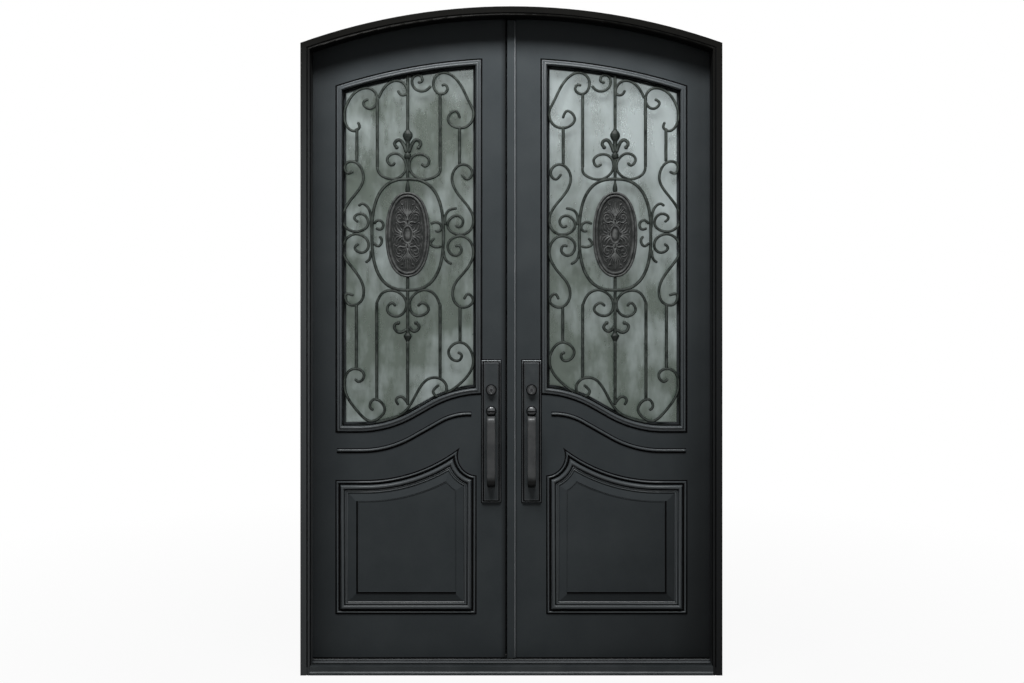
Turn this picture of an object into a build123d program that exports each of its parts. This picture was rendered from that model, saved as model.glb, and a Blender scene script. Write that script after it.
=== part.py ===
from build123d import *
import math
import os

# Arched steel double entry door with scrollwork grilles, in its own frame.
# Millimetres. X runs right seen from outside, -Y is outside, +Z is up.
# The origin is the middle of the sill's underside, halfway through the frame.

# Frame
SET_WIDTH = 1562
SET_HEIGHT = 2477
ARCH_RISE = 135
FRAME_DEPTH = 145
FACE_BAND = 22
FACE_GROOVE = 4
GROOVE_DEPTH = 3
FACE_BEAD = 8
REBATE_LAND = 18
FRAME_WALL = 3
SILL_HEIGHT = 31
SILL_NOSE_HEIGHT = 9
SILL_NOSE_STEP = 4
SILL_GROOVE_WIDTH = 4
SILL_GROOVE_DEPTH = 1.5
SILL_GROOVES = 3
WALL_SCREW_RADIUS = 4
WALL_SCREW_COUNT = 4
WALL_SCREW_LOWEST = 380
WALL_SCREW_BELOW_SPRING = 162

# Leaves
LEAF_THICK = 50
LEAF_SKIN = 2.5
EDGE_GAP = 4
SILL_GAP = 8
SEAL_SPACE = 6
SEAL_CLEARANCE = 0.4
SEAL_WIDTH = 6
LEFT_MEETING_EDGE = -22.5
RIGHT_MEETING_EDGE = -14
ASTRAGAL_WIDTH = 33.5
ASTRAGAL_LAP = 2.5
ASTRAGAL_PROUD = 11
ASTRAGAL_RIDGE = 5
ASTRAGAL_HEAD_GAP = 4
SWEEP_WIDTH = 10
SWEEP_CLEARANCE = 2
MEETING_SEAL_PARTING = -19.85
MEETING_SEAL_GAP = 0.4
MEETING_SEAL_WIDTH = 4
MEETING_SEAL_INSET = 0.5
CHANNEL_DEPTH = 34
CHANNEL_MARGIN = 30

# Glass opening, given for the left leaf; the right leaf is its mirror image
STILE_WIDTH = 143
OPENING_INNER_X = 135
TOP_RAIL_DROP = 202.6
OPENING_LOW_Z = 911
OPENING_HIGH_Z = 1054.5
OPENING_LOW_BEND = 405
OPENING_HIGH_BEND = 420
OPENING_CREST_X = 105
OGEE_SLOPE = 29.5
MOULDING_WIDTH = 20
MOULDING_PROUD = 8
MOULDING_FOOT = 3

# Curved bead under the opening
BEAD_LOW_Z = 819
BEAD_HIGH_Z = 957
BEAD_LOW_BEND = 386
BEAD_HIGH_BEND = 220
BEAD_INNER_X = 150
BEAD_CREST_X = 162
BEAD_WIDTH = 10
BEAD_PROUD = 5

# Lower panel, whose top sweeps up to a cusp beside a round notch
PANEL_STILE_WIDTH = 122
PANEL_INNER_X = 136
PANEL_BOTTOM_Z = 206
PANEL_TOP_Z = 702.5
PANEL_LEVEL_LENGTH = 107
NOTCH_X = 128
NOTCH_Z = 798
NOTCH_RADIUS = 78.5
CUSP_ANGLE = 166.5
PANEL_MOULDING_WIDTH = 44
PANEL_THIN_BEAD = 7
PANEL_BOLD_BEAD = 15
PANEL_BEAD_START = 15
PANEL_BEAD_PROUD = 10
PANEL_STEP_PROUD = 4
PANEL_BEVEL = 33
PANEL_FIELD_PROUD = 9
PANEL_PLATE = 1.5
PANEL_FLANGE = 5
INNER_PANEL_MARGIN = 10

# Grille
GRILLE_BAR = 12
SCROLL_BAR = 10.5
GRILLE_SETBACK = 6
GRILLE_RIM = 5
GRILLE_FIT = 0.1
RING_HALF_WIDTH = 135
RING_HALF_HEIGHT = 210
RING_SQUARENESS = 2.6
MEDALLION_HALF_WIDTH = 80
MEDALLION_HALF_HEIGHT = 161
MEDALLION_BORDER = 14
MEDALLION_PROUD = 4
SPEAR_RADIUS = 15
SPEAR_TIP_RADIUS = 3

# The scroll pattern is drawn on a template grid whose origin is the centre of the oval ring.
TEMPLATE_WIDTH = 133.5
TEMPLATE_HEIGHT = 352.4
TEMPLATE_LEFT = 65.3
TEMPLATE_BELOW = 191.4

# Inner glazed sash
SASH_LAP = 22
SASH_SIGHT = 10
SASH_THICK = 24
SASH_CLEARANCE = 3
GLASS_THICK = 6
GLASS_EDGE = 2
SASH_BARREL_RADIUS = 5
SASH_PIN_RADIUS = 2.5
SASH_HINGE_HALF = 30
SASH_HINGE_HEIGHTS = (1120, 2020)
SASH_PLATE = 3
SASH_PLATE_REACH = 22
BUTTON_LENGTH = 50
BUTTON_WIDTH = 12
BUTTON_THICK = 4
BUTTON_AXIS_X = 99
BUTTON_Z = 1500
BUTTON_STUD_RADIUS = 4

# Leaf hinges
BARREL_RADIUS = 8
PIN_RADIUS = 5
HINGE_HALF = 60
HINGE_WASHER = 1.5
HINGE_PLATE = 5
HINGE_PLATE_REACH = 30
HINGE_HEIGHTS = (270, 1250, 2130)
RUNNING_GAP = 0.05
END_GAP = 0.5
BARREL_STANDOFF = 1

# Handles and lock
HANDLE_X = 76
PLATE_WIDTH = 70
PLATE_LOW_Z = 624
PLATE_HIGH_Z = 1158
PLATE_BASE = 5
PLATE_TIER = 3
PLATE_TIER_INSET = 8
GRIP_WIDTH = 31
GRIP_THICK = 10
GRIP_LOW_Z = 678
GRIP_HIGH_Z = 952
GRIP_REACH = 50
GRIP_BEND = 22
INNER_PLATE_WIDTH = 60
THUMB_Z = 963
THUMB_WIDTH = 32
THUMB_REACH = 37
THUMB_THICK = 4
THUMB_NECK = 14
THUMB_PIVOT_RADIUS = 2.5
THUMB_SLOT_HALF = 8
THUMB_CLEAR = 2
THUMB_TAIL = 8
TRUNNION = 5
KEY_Z = 1048
COLLAR_RADIUS = 17.5
COLLAR_PROUD = 16
COLLAR_CHAMFER = 2
CYLINDER_RADIUS = 10
PLUG_RADIUS = 6
PLUG_PROUD = 1.5
PLUG_TAIL = 4
KEYWAY = 1.5
SPINDLE_RADIUS = 6
LEVER_LENGTH = 112
LEVER_HEIGHT = 18
LEVER_THICK = 12
LEVER_STANDOFF = 38
TURN_WIDTH = 34
TURN_THICK = 9
TURN_REACH = 20
CASE_FRONT = 9.5
CASE_DEPTH = 30
CASE_WALL = 2
CASE_LOW_Z = 920
CASE_HIGH_Z = 1085
CASE_BACK_X = 104
FOREND_THICK = 2.5
FOREND_WIDTH = 24
FOREND_MARGIN = 15
BOLT_THICK = 12
LATCH_HEIGHT = 24
LATCH_LENGTH = 36
LATCH_Z = 957
DEADBOLT_HEIGHT = 30
DEADBOLT_LENGTH = 45
BOLT_GAP = 0.3
STRIKE_GAP = 2
FLUSH_ROD_RADIUS = 6
FLUSH_ROD_LENGTH = 290
FLUSH_AXIS_X = 4
FLUSH_BACK = 22
FLUSH_TRAVEL = 18
FLUSH_KNOB = 14
FLUSH_HOLE_GAP = 1

# Derived places
ARCH_RADIUS = ((SET_WIDTH / 2) ** 2 + ARCH_RISE ** 2) / (2 * ARCH_RISE)
ARCH_Z = SET_HEIGHT - ARCH_RADIUS
SPRING_Z = SET_HEIGHT - ARCH_RISE
HALF = SET_WIDTH / 2
FRONT = -FRAME_DEPTH / 2
BACK = FRAME_DEPTH / 2
FACE = FACE_BAND + FACE_GROOVE + FACE_BEAD
LEAF_OUT = BACK - LEAF_THICK
LEAF_BOTTOM = SILL_HEIGHT + SILL_GAP
STOP_BACK = LEAF_OUT - SEAL_SPACE
LEAF_INSET = REBATE_LAND + EDGE_GAP
OPENING_OUTER_X = HALF - STILE_WIDTH
OPENING_TOP_RADIUS = ARCH_RADIUS - TOP_RAIL_DROP
WALL_SCREW_SPACING = (SPRING_Z - WALL_SCREW_BELOW_SPRING - WALL_SCREW_LOWEST) / (WALL_SCREW_COUNT - 1)

# The panel's top leaves its level part at the sweep and runs up to the cusp on the notch's circle
PANEL_OUTER_X = HALF - PANEL_STILE_WIDTH
PANEL_SWEEP_X = PANEL_OUTER_X - PANEL_LEVEL_LENGTH
CUSP_X = NOTCH_X - NOTCH_RADIUS * math.cos(math.radians(CUSP_ANGLE))
CUSP_RISE = NOTCH_Z + NOTCH_RADIUS * math.sin(math.radians(CUSP_ANGLE)) - PANEL_TOP_Z
PANEL_SWEEP_RADIUS = ((PANEL_SWEEP_X - CUSP_X) ** 2 + CUSP_RISE ** 2) / (2 * CUSP_RISE)

PIVOT_X = HALF - REBATE_LAND - EDGE_GAP / 2
PIVOT_Y = BACK + BARREL_STANDOFF + BARREL_RADIUS
GRILLE_Y = LEAF_OUT + GRILLE_SETBACK
GRILLE_MID = GRILLE_Y + GRILLE_BAR / 2
REBATE = SASH_LAP + SASH_CLEARANCE
SASH_Y = BACK - SASH_THICK
GLASS_Y = SASH_Y + (SASH_THICK - GLASS_THICK) / 2
SASH_PIVOT_X = OPENING_OUTER_X + SASH_LAP + SASH_CLEARANCE / 2
SASH_PIVOT_Y = BACK + 0.5 + SASH_BARREL_RADIUS
PLATE_FACE = LEAF_OUT - PLATE_BASE - PLATE_TIER
PLATE_PIVOT_Y = LEAF_OUT - (PLATE_BASE + PLATE_TIER) / 2
INNER_PLATE_FACE = BACK + PLATE_BASE
CASE_Y = LEAF_OUT + CASE_FRONT
CASE_MID = CASE_Y + CASE_DEPTH / 2
FLUSH_Y = BACK - FLUSH_BACK

LEFT = -1
RIGHT = 1


def block(x0, x1, y0, y1, z0, z1):
    centre = Pos((x0 + x1) / 2, (y0 + y1) / 2, (z0 + z1) / 2)
    return centre * Box(abs(x1 - x0), abs(y1 - y0), abs(z1 - z0))


def slab(face, y0, y1):
    # A face drawn in X and Z, given its thickness between two depths.
    return extrude(Plane.XZ.offset(-y1) * face, amount=y1 - y0)


def rod_y(x, z, radius, y0, y1):
    return slab(Pos(x, z) * Circle(radius), y0, y1)


def rod_z(x, y, radius, z0, z1):
    return Pos(x, y, (z0 + z1) / 2) * Cylinder(radius, z1 - z0)


def rod_x(y, z, radius, x0, x1):
    return Pos((x0 + x1) / 2, y, z) * Rot(0, 90, 0) * Cylinder(radius, x1 - x0)


def arch_height(x, radius):
    return ARCH_Z + math.sqrt(radius ** 2 - x ** 2)


def arch_arc(x0, x1, radius):
    middle = (x0 + x1) / 2
    points = [(x, arch_height(x, radius)) for x in (x0, middle, x1)]
    return ThreePointArc(*points)


def under_arch(x0, x1, z0, radius):
    # The region between two upright lines, a level line and the arch.
    edges = [
        Line((x0, z0), (x1, z0)),
        Line((x1, z0), (x1, arch_height(x1, radius))),
        arch_arc(x1, x0, radius),
        Line((x0, arch_height(x0, radius)), (x0, z0)),
    ]
    return make_face(edges)


def bend(centre, radius, start, end):
    # An arc about a centre between two directions in degrees, 0 along +X.
    angles = [math.radians(a) for a in (start, (start + end) / 2, end)]
    points = [(centre[0] + radius * math.cos(a), centre[1] + radius * math.sin(a)) for a in angles]
    return ThreePointArc(*points)


def ogee(x0, x1, low_z, high_z, low_bend, high_bend, crest_x, shift):
    # A level line that bends up into a slope and bends level again under its crest.
    slope = math.radians(OGEE_SLOPE)
    bends = low_bend + high_bend
    straight = (high_z - low_z - bends * (1 - math.cos(slope))) / math.sin(slope)
    foot_x = crest_x - bends * math.sin(slope) - straight * math.cos(slope)
    foot = (foot_x, low_z + low_bend)
    crest = (crest_x, high_z - high_bend)
    low_radius = low_bend + shift
    high_radius = high_bend - shift
    end = math.degrees(math.acos((x1 - crest_x) / high_radius))
    start = (x0, low_z - shift)
    edges = [
        Line(start, (foot_x, low_z - shift)),
        bend(foot, low_radius, -90, -90 + OGEE_SLOPE),
    ]
    upper = bend(crest, high_radius, 90 + OGEE_SLOPE, end)
    edges.append(Line(edges[-1] @ 1, upper @ 0))
    edges.append(upper)
    return edges


def opening(grow):
    # The glass opening of the left leaf, grown outward by the given amount.
    x0 = -OPENING_OUTER_X - grow
    x1 = -OPENING_INNER_X + grow
    radius = OPENING_TOP_RADIUS + grow
    edges = ogee(x0, x1, OPENING_LOW_Z, OPENING_HIGH_Z, OPENING_LOW_BEND,
                 OPENING_HIGH_BEND, -OPENING_CREST_X, grow)
    edges.append(Line(edges[-1] @ 1, (x1, arch_height(x1, radius))))
    edges.append(arch_arc(x1, x0, radius))
    edges.append(Line((x0, arch_height(x0, radius)), (x0, OPENING_LOW_Z - grow)))
    return make_face(edges)


def panel(inset):
    # The lower panel of the left leaf, drawn in from its outer line by the given amount.
    x0 = -PANEL_OUTER_X + inset
    x1 = -PANEL_INNER_X - inset
    z0 = PANEL_BOTTOM_Z + inset
    sweep = (-PANEL_SWEEP_X, PANEL_TOP_Z + PANEL_SWEEP_RADIUS)
    notch = (-NOTCH_X, NOTCH_Z)
    sweep_radius = PANEL_SWEEP_RADIUS + inset
    notch_radius = NOTCH_RADIUS + inset
    apart = math.dist(sweep, notch)
    along = (sweep_radius ** 2 - notch_radius ** 2 + apart ** 2) / (2 * apart)
    aside = math.sqrt(sweep_radius ** 2 - along ** 2)
    ux = (notch[0] - sweep[0]) / apart
    uz = (notch[1] - sweep[1]) / apart
    tip = (sweep[0] + along * ux + aside * uz, sweep[1] + along * uz - aside * ux)
    sweep_end = math.degrees(math.atan2(tip[1] - sweep[1], tip[0] - sweep[0]))
    notch_start = math.degrees(math.atan2(tip[1] - notch[1], tip[0] - notch[0])) % 360
    notch_end = 360 - math.degrees(math.acos((x1 - notch[0]) / notch_radius))
    rise = bend(sweep, sweep_radius, -90, sweep_end)
    hollow = bend(notch, notch_radius, notch_start, notch_end)
    edges = [
        Line((x0, z0), (x0, PANEL_TOP_Z - inset)),
        Line((x0, PANEL_TOP_Z - inset), (sweep[0], PANEL_TOP_Z - inset)),
        rise,
        hollow,
        Line(hollow @ 1, (x1, z0)),
        Line((x1, z0), (x0, z0)),
    ]
    return make_face(edges)


def layer(outline, wide, narrow, y_wide, y_narrow):
    # A ruled body between one outline at two sizes and two depths.
    faces = [Plane.XZ.offset(-y) * outline(size) for y, size in ((y_wide, wide), (y_narrow, narrow))]
    return loft(faces, ruled=True)


def bevelled_ring(outline, outer, inner, foot, top, chamfer, grow=1):
    # A raised ring between two sizes of one outline, with both top corners bevelled.
    way = 1 if top < foot else -1
    shoulder = top + way * chamfer
    band = slab(outline(outer), min(foot, shoulder), max(foot, shoulder))
    band += layer(outline, outer, outer + grow * chamfer, shoulder, top)
    hole = slab(outline(inner), min(foot, shoulder), max(foot, shoulder))
    hole += layer(outline, inner, inner - grow * chamfer, shoulder, top)
    return band - hole


def frame_profile(place):
    # The folded section of jambs and head: face band, groove, bead, stop and rebate.
    bead_radius = FACE_BEAD / 2
    bead_middle = FACE - bead_radius
    bead_foot = bead_middle - math.sqrt(bead_radius**2 - (bead_radius - GROOVE_DEPTH)**2)
    line = [
        (bead_foot, FRONT + GROOVE_DEPTH), (FACE_BAND, FRONT + GROOVE_DEPTH), (FACE_BAND, FRONT),
        (0, FRONT), (0, BACK), (REBATE_LAND, BACK), (REBATE_LAND, STOP_BACK), (FACE, STOP_BACK),
        (FACE, FRONT + bead_radius),
    ]
    bead = [(FACE, FRONT + bead_radius), (bead_middle, FRONT), (bead_foot, FRONT + GROOVE_DEPTH)]
    outside = make_face([Polyline(*[place(p) for p in line]),
                         ThreePointArc(*[place(p) for p in bead])])
    front_wall = FRONT + GROOVE_DEPTH + FRAME_WALL
    hollow = [
        (FRAME_WALL, front_wall), (FACE - FRAME_WALL, front_wall),
        (FACE - FRAME_WALL, STOP_BACK - FRAME_WALL), (REBATE_LAND - FRAME_WALL, STOP_BACK - FRAME_WALL),
        (REBATE_LAND - FRAME_WALL, BACK - FRAME_WALL), (FRAME_WALL, BACK - FRAME_WALL),
    ]
    inside = make_face(Polyline(*[place(p) for p in hollow], close=True))
    return outside - inside


def mitre(side):
    # The plane in which a jamb meets the head.
    inner_z = arch_height(HALF - FACE, ARCH_RADIUS - FACE)
    fall = SPRING_Z - inner_z
    return Plane(origin=(side * HALF, 0, SPRING_Z), x_dir=(0, 1, 0), z_dir=(-side * fall, 0, FACE))


def wall_screw_heights():
    return [WALL_SCREW_LOWEST + i * WALL_SCREW_SPACING for i in range(WALL_SCREW_COUNT)]


def make_jamb():
    profile = frame_profile(lambda p: (-HALF + p[0], p[1]))
    post = extrude(profile, amount=SPRING_Z + FACE)
    post = split(post, bisect_by=mitre(LEFT), keep=Keep.BOTTOM)
    screw_y = (STOP_BACK + BACK) / 2
    for z in wall_screw_heights():
        post -= rod_x(screw_y, z, WALL_SCREW_RADIUS, -HALF - 1, -HALF + REBATE_LAND + 1)
    return post


def make_head():
    profile = Plane.YZ * frame_profile(lambda p: (p[1], ARCH_Z + ARCH_RADIUS - p[0]))
    axis = Axis((0, 0, ARCH_Z), (0, 1, 0))
    half_angle = math.degrees(math.asin(HALF / ARCH_RADIUS))
    arch = revolve(profile.rotate(axis, -half_angle), axis, 2 * half_angle)
    arch = split(arch, bisect_by=mitre(LEFT), keep=Keep.TOP)
    arch = split(arch, bisect_by=mitre(RIGHT), keep=Keep.TOP)
    keep_z = arch_height(FLUSH_AXIS_X, ARCH_RADIUS - REBATE_LAND)
    hole = rod_z(FLUSH_AXIS_X, FLUSH_Y, FLUSH_ROD_RADIUS + FLUSH_HOLE_GAP,
                 keep_z - FRAME_WALL, keep_z + 2 * FRAME_WALL)
    return arch - hole


def make_sill():
    length = HALF - REBATE_LAND
    nose_top = SILL_NOSE_HEIGHT + SILL_NOSE_STEP
    section = make_face(Polyline(
        (FRONT, 0), (FRONT, SILL_NOSE_HEIGHT), (FRONT + SILL_NOSE_STEP, nose_top),
        (FRONT + SILL_NOSE_STEP, SILL_HEIGHT), (BACK, SILL_HEIGHT), (BACK, 0), close=True))
    body = extrude(Plane.YZ.offset(-length) * section, amount=2 * length)
    body -= block(-length, length, FRONT + SILL_NOSE_STEP + FRAME_WALL, BACK - FRAME_WALL,
                  FRAME_WALL, SILL_HEIGHT - FRAME_WALL)
    tread = LEAF_OUT - FRONT
    for i in range(SILL_GROOVES):
        y = FRONT + tread * (i + 1) / (SILL_GROOVES + 1)
        body -= block(-length, length, y, y + SILL_GROOVE_WIDTH, SILL_HEIGHT - SILL_GROOVE_DEPTH, SILL_HEIGHT)
    for side in (LEFT, RIGHT):
        body -= block(side * (HALF - FACE), side * HALF, FRONT, STOP_BACK, 0, SILL_HEIGHT)
    return body - rod_z(FLUSH_AXIS_X, FLUSH_Y, FLUSH_ROD_RADIUS + FLUSH_HOLE_GAP,
                        SILL_HEIGHT - 2 * FRAME_WALL, SILL_HEIGHT)


def make_frame_seal():
    middle = (LEAF_INSET + FACE) / 2
    outer = middle - SEAL_WIDTH / 2
    inner = middle + SEAL_WIDTH / 2
    depth = LEAF_OUT - SEAL_CLEARANCE
    band = slab(under_arch(-HALF + outer, HALF - outer, SILL_HEIGHT, ARCH_RADIUS - outer), STOP_BACK, depth)
    return band - slab(under_arch(-HALF + inner, HALF - inner, 0, ARCH_RADIUS - inner), STOP_BACK, depth)


def hinge_half(z0, z1, x_far, bore):
    # A barrel with a welded plate, for the left side; x_far is where the plate ends.
    barrel = rod_z(-PIVOT_X, PIVOT_Y, BARREL_RADIUS, z0, z1)
    reach = 1 if x_far > -PIVOT_X else -1
    plate = block(-PIVOT_X + reach * EDGE_GAP / 2, x_far, BACK, BACK + HINGE_PLATE, z0, z1)
    return barrel + plate - rod_z(-PIVOT_X, PIVOT_Y, bore, z0, z1)


def make_fixed_hinges():
    return [hinge_half(z - HINGE_HALF, z, -HALF, PIN_RADIUS) for z in HINGE_HEIGHTS]


def make_hinge_pins():
    top = HINGE_WASHER + END_GAP + HINGE_HALF
    return [rod_z(-PIVOT_X, PIVOT_Y, PIN_RADIUS, z - HINGE_HALF, z + top) for z in HINGE_HEIGHTS]


def make_hinge_washers():
    def ring(z):
        disc = rod_z(-PIVOT_X, PIVOT_Y, BARREL_RADIUS, z, z + HINGE_WASHER)
        return disc - rod_z(-PIVOT_X, PIVOT_Y, PIN_RADIUS, z, z + HINGE_WASHER)
    return [ring(z) for z in HINGE_HEIGHTS]


def make_leaf_hinges():
    start = HINGE_WASHER + END_GAP
    far = -PIVOT_X + HINGE_PLATE_REACH
    return [hinge_half(z + start, z + start + HINGE_HALF, far, PIN_RADIUS + RUNNING_GAP)
            for z in HINGE_HEIGHTS]


def make_leaf_shell(edge):
    # A hollow welded leaf with the glass opening and the deeper rebate for the sash.
    radius = ARCH_RADIUS - LEAF_INSET
    x0 = -HALF + LEAF_INSET
    shell = slab(under_arch(x0, edge, LEAF_BOTTOM, radius), LEAF_OUT, BACK)
    room = under_arch(x0 + LEAF_SKIN, edge - LEAF_SKIN, LEAF_BOTTOM + LEAF_SKIN, radius - LEAF_SKIN)
    step = SASH_Y - LEAF_SKIN
    front_room = slab(room - opening(LEAF_SKIN), LEAF_OUT + LEAF_SKIN, step)
    back_room = slab(room - opening(REBATE + LEAF_SKIN), step, BACK - LEAF_SKIN)
    shell -= front_room
    shell -= back_room
    shell -= slab(opening(0), LEAF_OUT, SASH_Y)
    shell -= slab(opening(REBATE), SASH_Y, BACK)
    return shell


def make_glazing_moulding():
    top = LEAF_OUT - MOULDING_PROUD
    ring = bevelled_ring(opening, MOULDING_WIDTH, 0, LEAF_OUT, top, MOULDING_FOOT, grow=-1)
    return ring


def make_curved_bead():
    half = BEAD_WIDTH / 2
    args = (BEAD_LOW_Z, BEAD_HIGH_Z, BEAD_LOW_BEND, BEAD_HIGH_BEND, -BEAD_CREST_X)
    x0 = -OPENING_OUTER_X - MOULDING_WIDTH
    x1 = -BEAD_INNER_X

    def strip(width):
        lower = ogee(x0, x1, *args, width)
        upper = ogee(x0, x1, *args, -width)
        ends = [Line(lower[0] @ 0, upper[0] @ 0), Line(lower[-1] @ 1, upper[-1] @ 1)]
        return make_face(lower + upper + ends)

    foot = slab(strip(half), LEAF_OUT - BEAD_PROUD / 2, LEAF_OUT)
    crown = slab(strip(half * 0.6), LEAF_OUT - BEAD_PROUD, LEAF_OUT - BEAD_PROUD / 2)
    return foot + crown


def make_panel_moulding():
    base = slab(panel(0) - panel(PANEL_MOULDING_WIDTH), LEAF_OUT - PANEL_STEP_PROUD / 2, LEAF_OUT)
    thin = bevelled_ring(panel, 0, PANEL_THIN_BEAD, LEAF_OUT, LEAF_OUT - PANEL_STEP_PROUD, 1.5)
    bold_end = PANEL_BEAD_START + PANEL_BOLD_BEAD
    bold = bevelled_ring(panel, PANEL_BEAD_START, bold_end, LEAF_OUT, LEAF_OUT - PANEL_BEAD_PROUD, 4.5)
    lip = slab(panel(bold_end) - panel(PANEL_MOULDING_WIDTH - PANEL_THIN_BEAD),
               LEAF_OUT - PANEL_STEP_PROUD, LEAF_OUT)
    return base + thin + bold + lip


def raised_plate(outline, margin, surface, way):
    # A pressed sheet with a bevel rising to a flat field, hollow behind.
    foot = surface + way * PANEL_PLATE
    top = surface + way * PANEL_FIELD_PROUD
    plate = slab(outline(margin), min(surface, foot), max(surface, foot))
    plate += layer(outline, margin, margin + PANEL_BEVEL, foot, top)
    inside = top - way * PANEL_PLATE
    return plate - layer(outline, margin + PANEL_FLANGE, margin + PANEL_BEVEL, surface, inside)


def make_raised_panel():
    return raised_plate(panel, PANEL_MOULDING_WIDTH, LEAF_OUT, -1)


def make_inner_panel():
    return raised_plate(panel, INNER_PANEL_MARGIN, BACK, 1)


# Grille pattern, drawn for the left leaf on the template grid: across, then up from the ring's centre
SCROLLS = {
    "top_corner": [(-50, 113), (-48.5, 107.5), (-54, 104), (-61, 109), (-58.5, 135.5), (-48, 145.5),
                   (-35.5, 145.5), (-31.5, 131), (-39.5, 126.5), (-44.5, 132), (-39.5, 136)],
    "top_left_leaf": [(-29.5, 136.5), (-20.5, 150.5), (-11, 154.5), (-2, 149), (-1.5, 141),
                      (-6, 140), (-10, 145)],
    "top_small": [(10, 152.5), (14.5, 154), (12.5, 159.7), (6.5, 158.7), (5, 150), (10.5, 144.5),
                  (18, 144.5), (23.5, 149.5)],
    "top_right": [(34, 149), (37, 150.5), (40, 146.5), (33.5, 141), (26, 148.5), (29.5, 160),
                  (36.5, 162.5), (47, 157.5), (62.5, 131.5), (66, 123.5), (62, 110.5),
                  (47.5, 108), (40.5, 117), (48, 124), (52.5, 116.5)],
    "left_upper": [(-54.5, 63.5), (-60.5, 61.5), (-62.5, 70), (-55.5, 73.5), (-44.5, 60),
                   (-59.5, 31.5), (-64.5, 11), (-53, 3), (-39.5, 11.5), (-48, 21),
                   (-53.5, 17), (-49.5, 12.5)],
    "left_lower": [(-49, -9), (-53, -13), (-47, -18), (-40, -14), (-40, -6.5), (-50.5, 0.5),
                   (-58.5, -1.5), (-65.5, -14.5), (-59, -28.5), (-44, -57.5), (-48.5, -68.5),
                   (-60, -69), (-62, -60), (-54, -61)],
    "right_upper": [(54, 61), (60, 55.5), (64, 59), (64, 65), (55.5, 70.5), (45.5, 62),
                    (46.5, 47.5), (66, 14.5), (63.5, 5.5), (51.5, 0), (40, 9), (42, 15),
                    (49.5, 19), (55, 15.5), (55, 10.5), (51.5, 7.5), (48, 9.5)],
    "right_lower": [(47.5, -12), (51.5, -11), (54, -15.5), (47.5, -21), (41, -16), (41, -8),
                    (51.5, -1.5), (59.5, -3.5), (66, -16.5), (53.5, -41.5), (48, -48.5),
                    (46.5, -66), (56, -73), (65.5, -65), (60.5, -59.5), (56.5, -65)],
    "upper_hook_left": [(-30.5, 68.5), (-29.5, 63.5), (-20.5, 56.5), (-9.5, 57), (-1.5, 67),
                        (-6, 78.5), (-13, 81.5), (-20.5, 74.5), (-15.5, 69.5), (-12.5, 72.5)],
    "upper_hook_right": [(32.5, 68.5), (32.5, 63.5), (23.5, 56.5), (11, 56.5), (2, 66),
                         (5.5, 78.5), (18, 79), (21.5, 73.5), (18, 68.5), (13.5, 71)],
    "lower_hook_left": [(-31, -68.5), (-24.5, -58), (-10, -57.5), (-1.5, -67.5), (-3.5, -77.5),
                        (-12, -82), (-20.5, -74), (-15.5, -68.5), (-12, -72)],
    "lower_hook_right": [(32.5, -71), (26, -59), (16.5, -55.5), (8.5, -58.5), (2, -68), (5, -79),
                         (11, -81.5), (21, -74), (14.5, -68.5), (10, -72)],
    "inner_left_upper": [(-34, 10.5), (-29, 14.5), (-24.5, 10.5), (-26.5, 5.5), (-32, 6.5)],
    "inner_left_lower": [(-28.5, -1.5), (-26, -5.5), (-29, -11.5), (-34.5, -8)],
    "inner_right_upper": [(23, 10.5), (29, 12.5), (34, 7.5), (31.5, 3.5), (27.5, 4)],
    "inner_right_lower": [(27, -3.5), (23, -9.5), (29, -12.5), (34, -11.5)],
    "tendril_left_upper": [(-36.5, 6.5), (-37.5, 21.5), (-40.5, 28), (-46, 31), (-49.5, 28.5)],
    "tendril_left_lower": [(-37, -15.5), (-37.5, -22.5), (-39.5, -26), (-42.5, -28)],
    "tendril_right_upper": [(38, 9.5), (38, 19.5), (41, 24), (49.5, 26.5)],
    "tendril_right_lower": [(36, -15.5), (37, -22.5), (40.5, -27.5), (44.5, -29.5)],
    "bottom_corner": [(-53, -144.5), (-49, -147.5), (-44, -143), (-44.5, -138.5), (-52, -134.5),
                      (-58.5, -136.5), (-63.5, -149.5), (-49.5, -178), (-37, -187),
                      (-26, -181.5), (-23, -175), (-34.5, -165.5), (-37.5, -173.5), (-34, -176)],
    "bottom_wave": [(-32.5, -188.5), (-2.5, -177), (12, -154), (22.5, -144), (33.5, -145),
                    (39, -153), (32.5, -163), (25.5, -157), (27.5, -154), (31.5, -150.5)],
    "bottom_branch": [(-0.5, -168.5), (-8, -162.5), (-11.5, -165), (-9, -171)],
    "bottom_right": [(50, -118), (54, -120.5), (52.5, -125.5), (46.5, -126), (41, -117.5),
                     (52, -108), (65.5, -123), (49.5, -152), (22.5, -168.5)],
    "finial_curl_left": [(-1, 83), (-4.5, 91), (-9, 95), (-13, 91.5), (-11.5, 87)],
    "finial_curl_right": [(1, 83), (4.5, 91), (9, 95), (13, 91.5), (11.5, 87)],
    "drop_curl_left": [(-1, -95), (-8.5, -98), (-13, -94), (-13, -90.5), (-9.5, -88.5)],
    "drop_curl_right": [(1, -92), (7, -97), (11.5, -93), (8.5, -88.5)],
}

# Upright bars: place across, top and bottom
BARS = [
    (-51, 107, 73), (-30.5, 139, 67), (0, 170, 103.5), (32.5, 142, 67), (52, 109, 70),
    (-51.5, -70, -135.5), (-31, -67, -167), (0, -106.5, -171), (32.5, -69, -145), (52.5, -72, -108),
]
STEM_TOP = 92
STEM_BOTTOM = -99.5
SPEAR_TOP = 103.5
SPEAR_WIDEST = 99.5
DROP_BOTTOM = -106.5
DROP_WIDEST = -101.5
WELD_OUTER = 39.5
WELD_INNER = 34
WELD_TOP = 12.5
WELD_BOTTOM = -15.5
ARC_LENGTH = 22


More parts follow.
